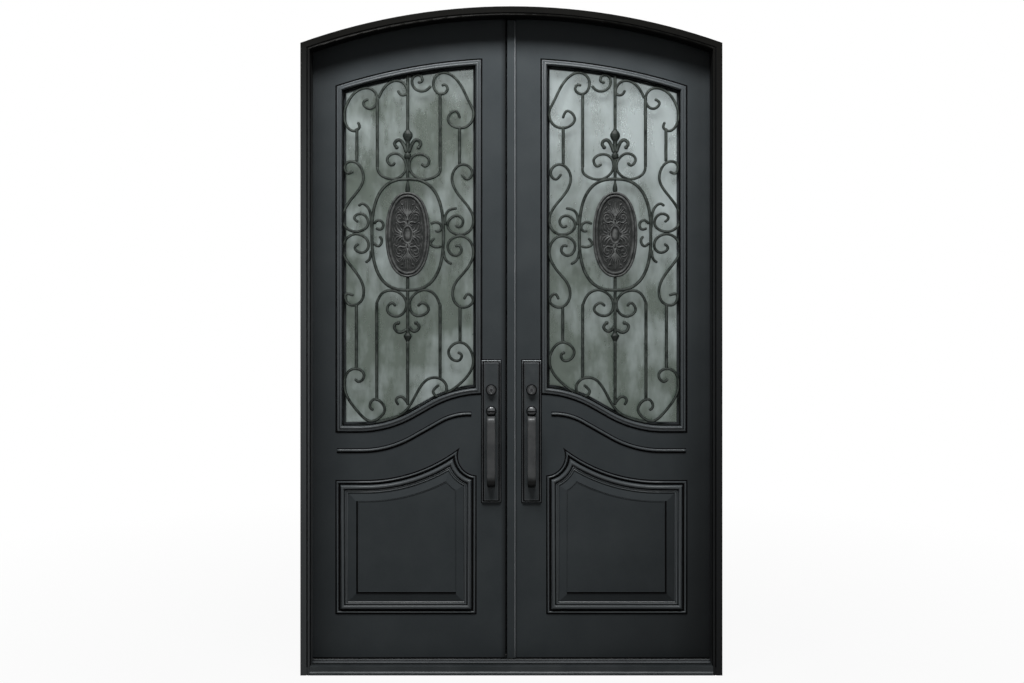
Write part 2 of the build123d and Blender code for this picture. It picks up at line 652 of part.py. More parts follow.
def template(point):
    # A template point in the plane of the left opening, in millimetres.
    width = OPENING_OUTER_X - OPENING_INNER_X
    middle = (OPENING_OUTER_X + OPENING_INNER_X) / 2
    height = arch_height(middle, OPENING_TOP_RADIUS) - OPENING_LOW_Z
    x = -OPENING_OUTER_X + (point[0] + TEMPLATE_LEFT) * width / TEMPLATE_WIDTH
    z = OPENING_LOW_Z + (point[1] + TEMPLATE_BELOW) * height / TEMPLATE_HEIGHT
    return x, z


def scroll(points):
    # A bar bent along a smooth line through its template points, each side a run of arcs.
    centre = Spline(*[template(p) for p in points])
    count = max(3, round(centre.length / ARC_LENGTH))

    def side(way, t):
        place = centre.position_at(t)
        along = centre.tangent_at(t)
        shift = way * SCROLL_BAR / 2
        return place.X - shift * along.Y, place.Y + shift * along.X

    runs = []
    for way in (1, -1):
        stations = [i / (2 * count) for i in range(2 * count + 1)]
        points = [side(way, t) for t in stations]
        runs.append([ThreePointArc(*points[i:i + 3]) for i in range(0, 2 * count, 2)])
    ends = [Line(runs[0][0] @ 0, runs[1][0] @ 0), Line(runs[0][-1] @ 1, runs[1][-1] @ 1)]
    return make_face(runs[0] + runs[1] + ends)


def upright(across, top, bottom):
    x, z_top = template((across, top))
    z_bottom = template((across, bottom))[1]
    return Pos(x, (z_top + z_bottom) / 2) * Rectangle(GRILLE_BAR, z_top - z_bottom)


def oval(half_width, half_height):
    # A squared oval about the ring's centre: a superellipse.
    x, z = template((0, 0))
    points = []
    for i in range(24):
        a = math.radians(15 * i)
        c, s = math.cos(a), math.sin(a)
        power = 2 / RING_SQUARENESS
        across = math.copysign(abs(c) ** power, c) * half_width
        points.append((x + across, z + math.copysign(abs(s) ** power, s) * half_height))
    return make_face(Spline(*points, periodic=True))


def medallion_outline():
    return Pos(*template((0, 0))) * Ellipse(MEDALLION_HALF_WIDTH, MEDALLION_HALF_HEIGHT)


def make_grille():
    half = GRILLE_BAR / 2
    ring = oval(RING_HALF_WIDTH + half, RING_HALF_HEIGHT + half)
    ring -= oval(RING_HALF_WIDTH - half, RING_HALF_HEIGHT - half)
    faces = [scroll(points) for points in SCROLLS.values()]
    faces += [upright(*bar) for bar in BARS]
    faces += [upright(0, STEM_TOP, 0), upright(0, 0, STEM_BOTTOM)]
    for way in (LEFT, RIGHT):
        corners = [template((way * u, v)) for u, v in ((WELD_INNER, WELD_TOP), (WELD_OUTER, WELD_TOP),
                                                      (WELD_OUTER, WELD_BOTTOM), (WELD_INNER, WELD_BOTTOM))]
        faces.append(make_face(Polyline(*corners, close=True)))
    back = GRILLE_Y + GRILLE_BAR
    body = slab(ring, GRILLE_Y, back) + [slab(face, GRILLE_Y, back) for face in faces]
    body &= slab(opening(-GRILLE_FIT), GRILLE_Y, back)
    body += slab(opening(0) - opening(-GRILLE_RIM), GRILLE_Y, back)
    return body - slab(medallion_outline(), GRILLE_Y, back)


def make_medallion():
    # A cast oval: border ridge, sunk field, central boss, scroll eyes and leaf lobes in relief.
    x, z = template((0, 0))
    top = GRILLE_Y - MEDALLION_PROUD
    floor = GRILLE_Y + MEDALLION_PROUD / 2
    inner = Pos(x, z) * Ellipse(MEDALLION_HALF_WIDTH - MEDALLION_BORDER,
                                MEDALLION_HALF_HEIGHT - MEDALLION_BORDER)
    body = slab(medallion_outline(), floor, GRILLE_Y + GRILLE_BAR)
    body += slab(medallion_outline() - inner, top, floor)
    room_x = MEDALLION_HALF_WIDTH - MEDALLION_BORDER
    room_z = MEDALLION_HALF_HEIGHT - MEDALLION_BORDER
    boss = slab(Pos(x, z) * Ellipse(room_x * 0.34, room_z * 0.26), top + 1, floor)
    boss -= slab(Pos(x, z) * Ellipse(room_x * 0.22, room_z * 0.19), top, GRILLE_Y)
    body += boss
    body += slab(Pos(x, z) * Ellipse(room_x * 0.14, room_z * 0.13), top, floor)
    lobes = []
    for up in (1, -1):
        for way in (LEFT, RIGHT):
            eye = Pos(x + way * room_x * 0.36, z + up * room_z * 0.47)
            lobes.append(eye * (Circle(room_x * 0.26) - Circle(room_x * 0.12)))
            leaf = Pos(x + way * room_x * 0.62, z + up * room_z * 0.17) * Rot(0, 0, way * up * 24)
            lobes.append(leaf * Ellipse(room_x * 0.13, room_z * 0.16))
            frond = Pos(x + way * room_x * 0.24, z + up * room_z * 0.76) * Rot(0, 0, -way * up * 28)
            lobes.append(frond * Ellipse(room_x * 0.11, room_z * 0.12))
        lobes.append(Pos(x, z + up * room_z * 0.8) * Ellipse(room_x * 0.13, room_z * 0.15))
    for face in lobes:
        body += slab(face, GRILLE_Y - MEDALLION_PROUD / 2, floor)
    return body


def turned(low, high, widest):
    # A turned bud between two template heights, on the grille's middle depth.
    x, z_low = template((0, low))
    z_high = template((0, high))[1]
    z_wide = template((0, widest))[1]
    root = GRILLE_BAR / 2
    curve = Spline((root, z_low), (SPEAR_RADIUS, z_wide), (SPEAR_TIP_RADIUS, z_high))
    edges = [Line((0, z_low), (root, z_low)), curve, Line((SPEAR_TIP_RADIUS, z_high), (0, z_high)),
             Line((0, z_high), (0, z_low))]
    return Pos(x, GRILLE_MID, 0) * revolve(Plane.XZ * make_face(edges), Axis.Z, 360)


def make_finials():
    return [turned(STEM_TOP, SPEAR_TOP, SPEAR_WIDEST), turned(STEM_BOTTOM, DROP_BOTTOM, DROP_WIDEST)]


def make_sash_frame():
    ring = slab(opening(SASH_LAP) - opening(-SASH_SIGHT), SASH_Y, BACK)
    return ring - slab(opening(GLASS_EDGE), GLASS_Y, GLASS_Y + GLASS_THICK)


def make_glass():
    return slab(opening(0), GLASS_Y, GLASS_Y + GLASS_THICK)


def sash_hinge(z0, z1, way, bore):
    # A small barrel with its plate on the leaf (way -1) or on the sash (way 1).
    start = -SASH_PIVOT_X + way * SASH_CLEARANCE / 2
    plate = block(start, start + way * SASH_PLATE_REACH, BACK, BACK + SASH_PLATE, z0, z1)
    half = plate + rod_z(-SASH_PIVOT_X, SASH_PIVOT_Y, SASH_BARREL_RADIUS, z0, z1)
    if bore:
        half -= rod_z(-SASH_PIVOT_X, SASH_PIVOT_Y, bore, z0, z1)
    return half


def make_sash_posts():
    # The fixed halves, each turned with its pin in one piece.
    top = END_GAP + SASH_HINGE_HALF
    return [sash_hinge(z - SASH_HINGE_HALF, z, LEFT, 0)
            + rod_z(-SASH_PIVOT_X, SASH_PIVOT_Y, SASH_PIN_RADIUS, z, z + top) for z in SASH_HINGE_HEIGHTS]


def make_sash_knuckles():
    return [sash_hinge(z + END_GAP, z + END_GAP + SASH_HINGE_HALF, RIGHT, SASH_PIN_RADIUS + RUNNING_GAP)
            for z in SASH_HINGE_HEIGHTS]


def make_turn_button():
    near = BACK + BOLT_GAP
    bar = Pos(-BUTTON_AXIS_X, BUTTON_Z) * SlotOverall(BUTTON_LENGTH, BUTTON_WIDTH, rotation=90)
    stud = rod_y(-BUTTON_AXIS_X, BUTTON_Z, BUTTON_STUD_RADIUS, BACK - LEAF_SKIN, near)
    return slab(bar, near, near + BUTTON_THICK) + stud


def plate_face(width, inset):
    height = PLATE_HIGH_Z - PLATE_LOW_Z - 2 * inset
    return Pos(-HANDLE_X, (PLATE_LOW_Z + PLATE_HIGH_Z) / 2) * Rectangle(width - 2 * inset, height)


def thumb_room():
    # The slot and the cross bearing that the thumb piece's neck and trunnions need.
    half = THUMB_NECK / 2 + BOLT_GAP
    slot = block(-HANDLE_X - half, -HANDLE_X + half, PLATE_FACE, CASE_Y + CASE_WALL,
                 THUMB_Z - THUMB_SLOT_HALF, THUMB_Z + THUMB_SLOT_HALF)
    bearing = rod_x(PLATE_PIVOT_Y, THUMB_Z, THUMB_PIVOT_RADIUS + RUNNING_GAP,
                    -HANDLE_X - THUMB_NECK / 2 - TRUNNION, -HANDLE_X + THUMB_NECK / 2 + TRUNNION)
    return slot + bearing


def make_handle_plate():
    plate = slab(plate_face(PLATE_WIDTH, 0), LEAF_OUT - PLATE_BASE, LEAF_OUT)
    plate += slab(plate_face(PLATE_WIDTH, PLATE_TIER_INSET), PLATE_FACE, LEAF_OUT - PLATE_BASE)
    plate -= rod_y(-HANDLE_X, KEY_Z, CYLINDER_RADIUS, PLATE_FACE, LEAF_OUT)
    return plate - thumb_room()


def make_grip():
    # A flat bar bent out of the plate, down, and back into it.
    far = PLATE_FACE - GRIP_REACH
    height = GRIP_HIGH_Z - GRIP_LOW_Z
    middle = (GRIP_HIGH_Z + GRIP_LOW_Z) / 2
    outer = Pos(far + GRIP_REACH, middle) * Rectangle(2 * GRIP_REACH, height)
    inner = Pos(far + GRIP_REACH, middle) * Rectangle(2 * (GRIP_REACH - GRIP_THICK), height - 2 * GRIP_THICK)
    loop = fillet(outer.vertices(), GRIP_BEND) - fillet(inner.vertices(), GRIP_BEND - GRIP_THICK)
    loop &= Pos(far + GRIP_REACH / 2, middle) * Rectangle(GRIP_REACH, height)
    bar = extrude(Plane.YZ.offset(-HANDLE_X - GRIP_WIDTH / 2) * loop, amount=GRIP_WIDTH)
    return bar


def make_inner_plate(lever):
    plate = slab(plate_face(INNER_PLATE_WIDTH, 0), BACK, BACK + PLATE_BASE)
    if lever:
        plate -= rod_y(-HANDLE_X, THUMB_Z, SPINDLE_RADIUS + RUNNING_GAP, BACK, INNER_PLATE_FACE)
        plate -= rod_y(-HANDLE_X, KEY_Z, PLUG_RADIUS + RUNNING_GAP, BACK, INNER_PLATE_FACE)
    return plate


def make_cylinder():
    # The lock cylinder: a collar on the plate and a barrel through it to the lock case.
    front = PLATE_FACE - COLLAR_PROUD
    body = rod_y(-HANDLE_X, KEY_Z, COLLAR_RADIUS, front, PLATE_FACE)
    body = chamfer(body.faces().sort_by(Axis.Y)[0].edges(), COLLAR_CHAMFER)
    body += rod_y(-HANDLE_X, KEY_Z, CYLINDER_RADIUS, PLATE_FACE, CASE_Y)
    return body - rod_y(-HANDLE_X, KEY_Z, PLUG_RADIUS + RUNNING_GAP, front, CASE_Y)


def make_dummy_cylinder():
    front = PLATE_FACE - COLLAR_PROUD
    return make_cylinder() + rod_y(-HANDLE_X, KEY_Z, PLUG_RADIUS + 2 * RUNNING_GAP, front - PLUG_PROUD, CASE_Y)


def make_key_plug():
    front = PLATE_FACE - COLLAR_PROUD - PLUG_PROUD
    plug = rod_y(-HANDLE_X, KEY_Z, PLUG_RADIUS, front, CASE_Y + CASE_WALL + PLUG_TAIL)
    slot = block(-HANDLE_X - KEYWAY / 2, -HANDLE_X + KEYWAY / 2, front, front + 2 * PLUG_RADIUS,
                 KEY_Z - PLUG_RADIUS * 0.7, KEY_Z + PLUG_RADIUS * 0.7)
    return plug - slot


def make_thumb():
    # The thumb piece: a round-nosed paddle, a neck through the plate, and two trunnions.
    front = PLATE_FACE - THUMB_REACH
    z0 = THUMB_Z - THUMB_THICK / 2
    nose = Pos(-HANDLE_X, front + THUMB_WIDTH / 2, THUMB_Z) * Cylinder(THUMB_WIDTH / 2, THUMB_THICK)
    paddle_back = PLATE_FACE - THUMB_CLEAR
    paddle = block(-HANDLE_X - THUMB_WIDTH / 2, -HANDLE_X + THUMB_WIDTH / 2,
                   front + THUMB_WIDTH / 2, paddle_back, z0, z0 + THUMB_THICK)
    neck = block(-HANDLE_X - THUMB_NECK / 2, -HANDLE_X + THUMB_NECK / 2, paddle_back - 1,
                 CASE_Y + THUMB_TAIL, z0, z0 + THUMB_THICK)
    reach = THUMB_NECK / 2 + TRUNNION - BOLT_GAP
    pins = rod_x(PLATE_PIVOT_Y, THUMB_Z, THUMB_PIVOT_RADIUS, -HANDLE_X - reach, -HANDLE_X + reach)
    return nose + paddle + neck + pins


def make_inner_lever():
    spindle = rod_y(-HANDLE_X, THUMB_Z, SPINDLE_RADIUS, CASE_MID + CASE_DEPTH / 4,
                    INNER_PLATE_FACE + LEVER_STANDOFF)
    rose = rod_y(-HANDLE_X, THUMB_Z, LEVER_THICK, INNER_PLATE_FACE + BOLT_GAP,
                 INNER_PLATE_FACE + LEVER_STANDOFF / 2)
    hand_y = INNER_PLATE_FACE + LEVER_STANDOFF
    hand = Pos(-HANDLE_X - LEVER_LENGTH / 2 + LEVER_HEIGHT / 2, THUMB_Z)
    bar = slab(hand * SlotOverall(LEVER_LENGTH, LEVER_HEIGHT), hand_y - LEVER_THICK, hand_y)
    return spindle + rose + bar


def make_thumbturn():
    near = INNER_PLATE_FACE + BOLT_GAP
    shaft = rod_y(-HANDLE_X, KEY_Z, PLUG_RADIUS, CASE_MID + CASE_DEPTH / 4, near)
    base = rod_y(-HANDLE_X, KEY_Z, TURN_WIDTH / 2, near, near + COLLAR_CHAMFER * 2)
    wing = Pos(-HANDLE_X, KEY_Z) * SlotOverall(TURN_WIDTH - TURN_THICK / 2, TURN_THICK, rotation=90)
    return shaft + base + slab(wing, near, near + TURN_REACH)


def bolt_places():
    # Height, size and name of each bolt: the latchbolt below, the deadbolt above.
    return ((LATCH_Z, LATCH_HEIGHT, LATCH_LENGTH), (KEY_Z, DEADBOLT_HEIGHT, DEADBOLT_LENGTH))


def bolt(z, height, length):
    edge = LEFT_MEETING_EDGE
    return block(edge - length, edge, CASE_MID - BOLT_THICK / 2, CASE_MID + BOLT_THICK / 2,
                 z - height / 2, z + height / 2)


def bolt_hole(x0, x1, z, height, gap):
    half = BOLT_THICK / 2 + gap
    return block(x0, x1, CASE_MID - half, CASE_MID + half, z - height / 2 - gap, z + height / 2 + gap)


def edge_plate(edge):
    # The plate let into a leaf's meeting edge, with the bolts' holes.
    return block(edge - FOREND_THICK, edge, CASE_MID - FOREND_WIDTH / 2, CASE_MID + FOREND_WIDTH / 2,
                 CASE_LOW_Z - FOREND_MARGIN, CASE_HIGH_Z + FOREND_MARGIN)


def make_lock_case():
    edge = LEFT_MEETING_EDGE - FOREND_THICK
    case = block(-CASE_BACK_X, edge, CASE_Y, CASE_Y + CASE_DEPTH, CASE_LOW_Z, CASE_HIGH_Z)
    case -= block(-CASE_BACK_X + CASE_WALL, edge - CASE_WALL, CASE_Y + CASE_WALL,
                  CASE_Y + CASE_DEPTH - CASE_WALL, CASE_LOW_Z + CASE_WALL, CASE_HIGH_Z - CASE_WALL)
    case += edge_plate(LEFT_MEETING_EDGE)
    for z, height, length in bolt_places():
        case -= bolt_hole(edge - CASE_WALL, LEFT_MEETING_EDGE, z, height, BOLT_GAP)
    case -= thumb_room()
    case -= rod_y(-HANDLE_X, KEY_Z, PLUG_RADIUS + BOLT_GAP, CASE_Y, CASE_Y + CASE_DEPTH)
    back_hole = SPINDLE_RADIUS + BOLT_GAP
    return case - rod_y(-HANDLE_X, THUMB_Z, back_hole, CASE_Y + CASE_DEPTH - CASE_WALL, CASE_Y + CASE_DEPTH)


def make_strike():
    plate = edge_plate(-RIGHT_MEETING_EDGE)
    for z, height, length in bolt_places():
        plate -= bolt_hole(-RIGHT_MEETING_EDGE - FOREND_THICK, -RIGHT_MEETING_EDGE, z, height, STRIKE_GAP)
    return plate


def shell_holes(edge):
    # What both leaves are cut for: edge plate, cylinder, thumb piece, button and spindle.
    holes = edge_plate(edge)
    holes += rod_y(-HANDLE_X, KEY_Z, CYLINDER_RADIUS, LEAF_OUT, LEAF_OUT + LEAF_SKIN)
    holes += thumb_room()
    holes += rod_y(-BUTTON_AXIS_X, BUTTON_Z, BUTTON_STUD_RADIUS + RUNNING_GAP, BACK - LEAF_SKIN, BACK)
    for z in (THUMB_Z, KEY_Z):
        holes += rod_y(-HANDLE_X, z, SPINDLE_RADIUS + STRIKE_GAP, BACK - LEAF_SKIN, BACK)
    return holes


def make_left_leaf():
    return make_leaf_shell(LEFT_MEETING_EDGE) - shell_holes(LEFT_MEETING_EDGE)


def make_right_leaf():
    # Drawn as a left leaf and mirrored when it is written out.
    edge = -RIGHT_MEETING_EDGE
    shell = make_leaf_shell(edge) - shell_holes(edge)
    rod_hole = FLUSH_ROD_RADIUS + RUNNING_GAP
    shell -= rod_z(-FLUSH_AXIS_X, FLUSH_Y, rod_hole, flush_top() - 3 * LEAF_SKIN, SET_HEIGHT)
    shell -= rod_z(-FLUSH_AXIS_X, FLUSH_Y, rod_hole, 0, LEAF_BOTTOM + LEAF_SKIN)
    for low, high in flush_slots():
        shell -= block(edge - LEAF_SKIN, edge, FLUSH_Y - FLUSH_KNOB / 4 - BOLT_GAP,
                       FLUSH_Y + FLUSH_KNOB / 4 + BOLT_GAP, low - BOLT_GAP, high + BOLT_GAP)
    return shell


def part_channel(leaf, edge):
    # The leaf without its meeting edge, and the folded channel there in three lengths: the
    # middle one, at the lock, is welded in by itself.
    start = edge - CHANNEL_DEPTH
    heights = (0, CASE_LOW_Z - CHANNEL_MARGIN, CASE_HIGH_Z + CHANNEL_MARGIN, SET_HEIGHT)
    lengths = [leaf & block(start, edge, LEAF_OUT, BACK, low, high)
               for low, high in zip(heights, heights[1:])]
    return leaf & block(-HALF, start, LEAF_OUT, BACK, 0, SET_HEIGHT), lengths


def flush_top():
    return arch_height(FLUSH_AXIS_X + FLUSH_ROD_RADIUS, ARCH_RADIUS - LEAF_INSET)


def flush_slots():
    # The travel of each knob in the leaf's edge: bottom bolt, then top bolt.
    low = LEAF_BOTTOM + FLUSH_ROD_LENGTH
    high = flush_top() - FLUSH_ROD_LENGTH
    return ((low - FLUSH_TRAVEL - FLUSH_KNOB, low), (high, high + FLUSH_KNOB + FLUSH_TRAVEL))


def make_flush_bolt(z0, z1, knob_z):
    # A rod with a finger knob that reaches through the slot in the leaf's edge, in its real place.
    rod = rod_z(FLUSH_AXIS_X, FLUSH_Y, FLUSH_ROD_RADIUS, z0, z1)
    return rod + block(RIGHT_MEETING_EDGE, FLUSH_AXIS_X, FLUSH_Y - FLUSH_KNOB / 4,
                       FLUSH_Y + FLUSH_KNOB / 4, knob_z, knob_z + FLUSH_KNOB)


def make_bottom_bolt():
    low = LEAF_BOTTOM
    return make_flush_bolt(low, low + FLUSH_ROD_LENGTH, low + FLUSH_ROD_LENGTH - FLUSH_KNOB)


def make_top_bolt():
    high = flush_top()
    return make_flush_bolt(high - FLUSH_ROD_LENGTH, high, high - FLUSH_ROD_LENGTH)


def make_astragal():
    # A folded cover strip with bevelled edges, fixed to the right leaf over the meeting gap.
    x0 = RIGHT_MEETING_EDGE - ASTRAGAL_LAP
    x1 = x0 + ASTRAGAL_WIDTH
    front = LEAF_OUT - ASTRAGAL_PROUD
    ridge = ASTRAGAL_RIDGE
    line = [(x0, LEAF_OUT), (x0, front + ridge / 2), (x0 + ridge / 2, front), (x1 - ridge, front),
            (x1, front + ridge), (x1, LEAF_OUT)]
    strip = extrude(make_face(Polyline(*line, close=True)), amount=SET_HEIGHT)
    radius = ARCH_RADIUS - FACE - ASTRAGAL_HEAD_GAP
    return strip & slab(under_arch(x0, x1, LEAF_BOTTOM, radius), FRONT, LEAF_OUT)


def make_leaf_seals(edge, parting):
    # The sweep under the leaf and the fin that nearly meets the other leaf's fin.
    sweep = block(-HALF + LEAF_INSET, edge, LEAF_OUT + LEAF_SKIN, LEAF_OUT + LEAF_SKIN + SWEEP_WIDTH,
                  SILL_HEIGHT + SWEEP_CLEARANCE, LEAF_BOTTOM)
    fin_back = BACK - MEETING_SEAL_INSET
    fin = block(edge, parting - MEETING_SEAL_GAP / 2, fin_back - MEETING_SEAL_WIDTH, fin_back,
                LEAF_BOTTOM, arch_height(parting, ARCH_RADIUS - LEAF_INSET - MEETING_SEAL_INSET))
    return [sweep, fin]


def shared_leaf_pieces():
    # Pieces that both leaves have, drawn for the left leaf.
    return {
        "glazing_moulding": [make_glazing_moulding(), make_curved_bead()],
        "panel_moulding": make_panel_moulding(),
        "raised_panel": make_raised_panel(),
        "inner_panel": make_inner_panel(),
        "grille": make_grille(),
        "medallion": make_medallion(),
        "finials": make_finials(),
        "leaf_hinges": make_leaf_hinges(),
        "sash_frame": make_sash_frame(),
        "glass": make_glass(),
        "sash_hinge_posts": make_sash_posts(),
        "sash_knuckles": make_sash_knuckles(),
        "turn_button": make_turn_button(),
        "handle_plate": make_handle_plate(),
        "grip": make_grip(),
        "thumb_piece": make_thumb(),
    }


def flip(shape):
    return mirror(shape, about=Plane.YZ)


def write(name, shape):
    solids = shape if isinstance(shape, list) else shape.solids()
    whole = solids[0] if len(solids) == 1 else Compound(children=[s for part in solids for s in part.solids()])
    export_step(whole, "parts/" + name + ".step")


os.makedirs("parts", exist_ok=True)

jamb = make_jamb()
write("jamb_left", jamb)
write("jamb_right", flip(jamb))
write("head", make_head())
write("sill", make_sill())
write("frame_seal", make_frame_seal())
for name, pieces in (("fixed_hinge_halves", make_fixed_hinges()), ("hinge_pins", make_hinge_pins()),
                     ("hinge_washers", make_hinge_washers())):
    write(name, pieces + [flip(piece) for piece in pieces])

for name, shape in shared_leaf_pieces().items():
    write(name + "_left", shape)
    write(name + "_right", [flip(s) for s in shape] if isinstance(shape, list) else flip(shape))

leaf, channel = part_channel(make_left_leaf(), LEFT_MEETING_EDGE)
write("leaf_left", leaf)
write("meeting_channel_left", channel)
leaf, channel = part_channel(make_right_leaf(), -RIGHT_MEETING_EDGE)
write("leaf_right", flip(leaf))
write("meeting_channel_right", [flip(length) for length in channel])
write("leaf_seals_left", make_leaf_seals(LEFT_MEETING_EDGE, MEETING_SEAL_PARTING))
write("leaf_seals_right", [flip(s) for s in make_leaf_seals(-RIGHT_MEETING_EDGE, -MEETING_SEAL_PARTING)])
write("inner_plate_left", make_inner_plate(lever=True))
write("inner_plate_right", flip(make_inner_plate(lever=False)))
write("cylinder_left", make_cylinder())
write("cylinder_right", flip(make_dummy_cylinder()))
write("key_plug", make_key_plug())
write("inner_lever", make_inner_lever())
write("thumbturn", make_thumbturn())
write("lock_case", make_lock_case())
write("latchbolt", bolt(*bolt_places()[0]))
write("deadbolt", bolt(*bolt_places()[1]))
write("strike_plate", flip(make_strike()))
write("astragal", make_astragal())
write("flush_bolt_top", make_top_bolt())
write("flush_bolt_bottom", make_bottom_bolt())
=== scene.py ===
import bmesh
import bpy
import math
import numpy as np
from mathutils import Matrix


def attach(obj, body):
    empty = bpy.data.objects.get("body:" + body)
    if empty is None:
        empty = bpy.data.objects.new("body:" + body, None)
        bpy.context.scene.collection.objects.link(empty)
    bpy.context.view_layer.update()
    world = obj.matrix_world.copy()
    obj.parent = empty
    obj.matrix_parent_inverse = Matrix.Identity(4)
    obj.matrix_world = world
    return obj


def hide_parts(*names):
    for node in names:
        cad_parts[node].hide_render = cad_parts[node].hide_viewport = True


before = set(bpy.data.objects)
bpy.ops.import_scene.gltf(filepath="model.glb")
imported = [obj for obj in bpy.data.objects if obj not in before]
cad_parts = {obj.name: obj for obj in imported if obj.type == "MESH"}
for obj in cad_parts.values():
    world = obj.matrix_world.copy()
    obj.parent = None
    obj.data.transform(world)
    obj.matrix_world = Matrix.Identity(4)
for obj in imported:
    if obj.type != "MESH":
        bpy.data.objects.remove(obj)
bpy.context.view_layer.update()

# Camera and studio. The picture is taken straight on from 5 m in front of the frame, at the height
# of a person's eyes, on a pale floor that runs on into a white background.
def placed(name, data):
    """A new object with this data in the scene."""
    thing = bpy.data.objects.new(name, data)
    bpy.context.scene.collection.objects.link(thing)
    return thing


def empty_tree(owner):
    """The node tree of a world or a material, with nothing in it."""
    owner.use_nodes = True
    owner.node_tree.nodes.clear()
    return owner.node_tree


def feed(tree, socket, value):
    """Links a socket to another node's output, or sets it to a number or a colour."""
    if isinstance(value, bpy.types.NodeSocket):
        tree.links.new(value, socket)
    else:
        socket.default_value = (*value, 1) if isinstance(value, tuple) else value


def maths(tree, operation, *values):
    """The result of one sum on numbers or on other nodes' outputs."""
    node = tree.nodes.new("ShaderNodeMath")
    node.operation = operation
    for socket, value in zip(node.inputs, values):
        feed(tree, socket, value)
    return node.outputs[0]


def ramp_node(tree, value, low, high, out_low, out_high):
    """Turns a value between low and high into one between out_low and out_high, clamped."""
    node = tree.nodes.new("ShaderNodeMapRange")
    for label, end in (("From Min", low), ("From Max", high), ("To Min", out_low), ("To Max", out_high),
                       ("Value", value)):
        feed(tree, node.inputs[label], end)
    return node.outputs["Result"]


def seen_directly(tree):
    """One where a ray comes from the camera, from a gloss or through glass, else nought."""
    path = tree.nodes.new("ShaderNodeLightPath").outputs
    first = maths(tree, "MAXIMUM", path["Is Camera Ray"], path["Is Glossy Ray"])
    return maths(tree, "MAXIMUM", first, path["Is Transmission Ray"])


def mixed_shader(tree, share, first, second, output):
    """Mixes two shaders by a share and sends them to an output node."""
    mix = tree.nodes.new("ShaderNodeMixShader")
    for socket, source in zip(mix.inputs, (share, first.outputs[0], second.outputs[0])):
        tree.links.new(source, socket)
    tree.links.new(mix.outputs[0], tree.nodes.new(output).inputs[0])


camera_data = bpy.data.cameras.new("camera")
camera_data.sensor_width = 36
camera_data.lens = 47.5
camera_data.shift_x = 0.0006
camera_data.shift_y = -0.096
camera = placed("camera", camera_data)
camera.location = (0, -5.0725, 1.6)
camera.rotation_euler = (math.radians(90), 0, 0)
bpy.context.scene.camera = camera
bpy.context.scene.view_settings.view_transform = "Standard"

world = bpy.data.worlds.new("studio")
bpy.context.scene.world = world
tree = empty_tree(world)
shown = tree.nodes.new("ShaderNodeBackground")
shown.inputs["Color"].default_value = (1, 1, 1, 1)
glow = tree.nodes.new("ShaderNodeBackground")
glow.inputs["Color"].default_value = (0.97, 0.98, 1, 1)
glow.inputs["Strength"].default_value = 0.05
mixed_shader(tree, seen_directly(tree), glow, shown, "ShaderNodeOutputWorld")

# The floor is mostly seen as plain white; a small share near the frame takes its shadow
floor_paint = bpy.data.materials.new("pale_floor")
tree = empty_tree(floor_paint)
matt = tree.nodes.new("ShaderNodeBsdfDiffuse")
matt.inputs["Color"].default_value = (0.22, 0.22, 0.217, 1)
spot = tree.nodes.new("ShaderNodeVectorMath")
spot.operation = "LENGTH"
tree.links.new(tree.nodes.new("ShaderNodeTexCoord").outputs["Object"], spot.inputs[0])
fade = ramp_node(tree, spot.outputs["Value"], 1.2, 3.6, 0.94, 1.0)
share = maths(tree, "MULTIPLY", seen_directly(tree), fade)
mixed_shader(tree, share, matt, tree.nodes.new("ShaderNodeEmission"), "ShaderNodeOutputMaterial")
floor_mesh = bpy.data.meshes.new("floor")
floor_mesh.from_pydata([(-30, -30, 0), (30, -30, 0), (30, 30, 0), (-30, 30, 0)], [], [(0, 1, 2, 3)])
floor_mesh.materials.append(floor_paint)
floor = placed("floor", floor_mesh)


def softbox(name, place, target, width, height, watts):
    """An oblong lamp at a place, turned so that it shines at its target."""
    data = bpy.data.lights.new(name, "AREA")
    data.shape = "RECTANGLE"
    data.size, data.size_y, data.energy = width, height, watts
    lamp = placed(name, data)
    lamp.location = place
    away = lamp.location - type(lamp.location)(target)
    lamp.rotation_euler = away.to_track_quat("Z", "Y").to_euler()


softbox("key", (0.5, -1.6, 4.25), (0, 0, 1.5), 1.1, 0.8, 122)
softbox("left_key", (-0.8, -1.6, 4.25), (0, 0, 1.5), 1.1, 0.8, 136)
softbox("front", (0.2, -5.6, 2.6), (0, 0, 1.5), 1.6, 1.2, 11)
softbox("back_left", (-3.0, 4.2, 3.2), (0, 0, 1.2), 2.4, 2.4, 110)
softbox("back_right", (3.4, 4.0, 2.4), (0, 0, 1.2), 2.0, 2.4, 60)

# Leaf skins and panels: welded sheet steel, sprayed with charcoal satin enamel. The spray leaves a
# fine orange peel, and the colour is uneven over a hand's width. The coat is painted darker, as painted
# shade, towards the outer edges, low on the right, and beside the meeting gap of the left leaf.
def new_material(name):
    """A new material, with its node tree and its plain shader."""
    material = bpy.data.materials.new(name)
    material.use_nodes = True
    return material, material.node_tree, material.node_tree.nodes["Principled BSDF"]


def shader_group(name, inputs, outputs):
    """An empty node group with the named inputs and outputs."""
    group = bpy.data.node_groups.new(name, "ShaderNodeTree")
    for label, kind, value in inputs:
        socket = group.interface.new_socket(label, in_out="INPUT", socket_type=kind)
        socket.default_value = value
    for label, kind in outputs:
        group.interface.new_socket(label, in_out="OUTPUT", socket_type=kind)
    return group, group.nodes.new("NodeGroupInput"), group.nodes.new("NodeGroupOutput")


def own_place(tree):
    """A point's place on the piece."""
    return tree.nodes.new("ShaderNodeTexCoord").outputs["Object"]


def along(tree, direction):
    """How far a point of the piece lies along a direction: the dot product of the two."""
    node = tree.nodes.new("ShaderNodeVectorMath")
    node.operation = "DOT_PRODUCT"
    node.inputs[1].default_value = direction
    tree.links.new(own_place(tree), node.inputs[0])
    return node.outputs["Value"]


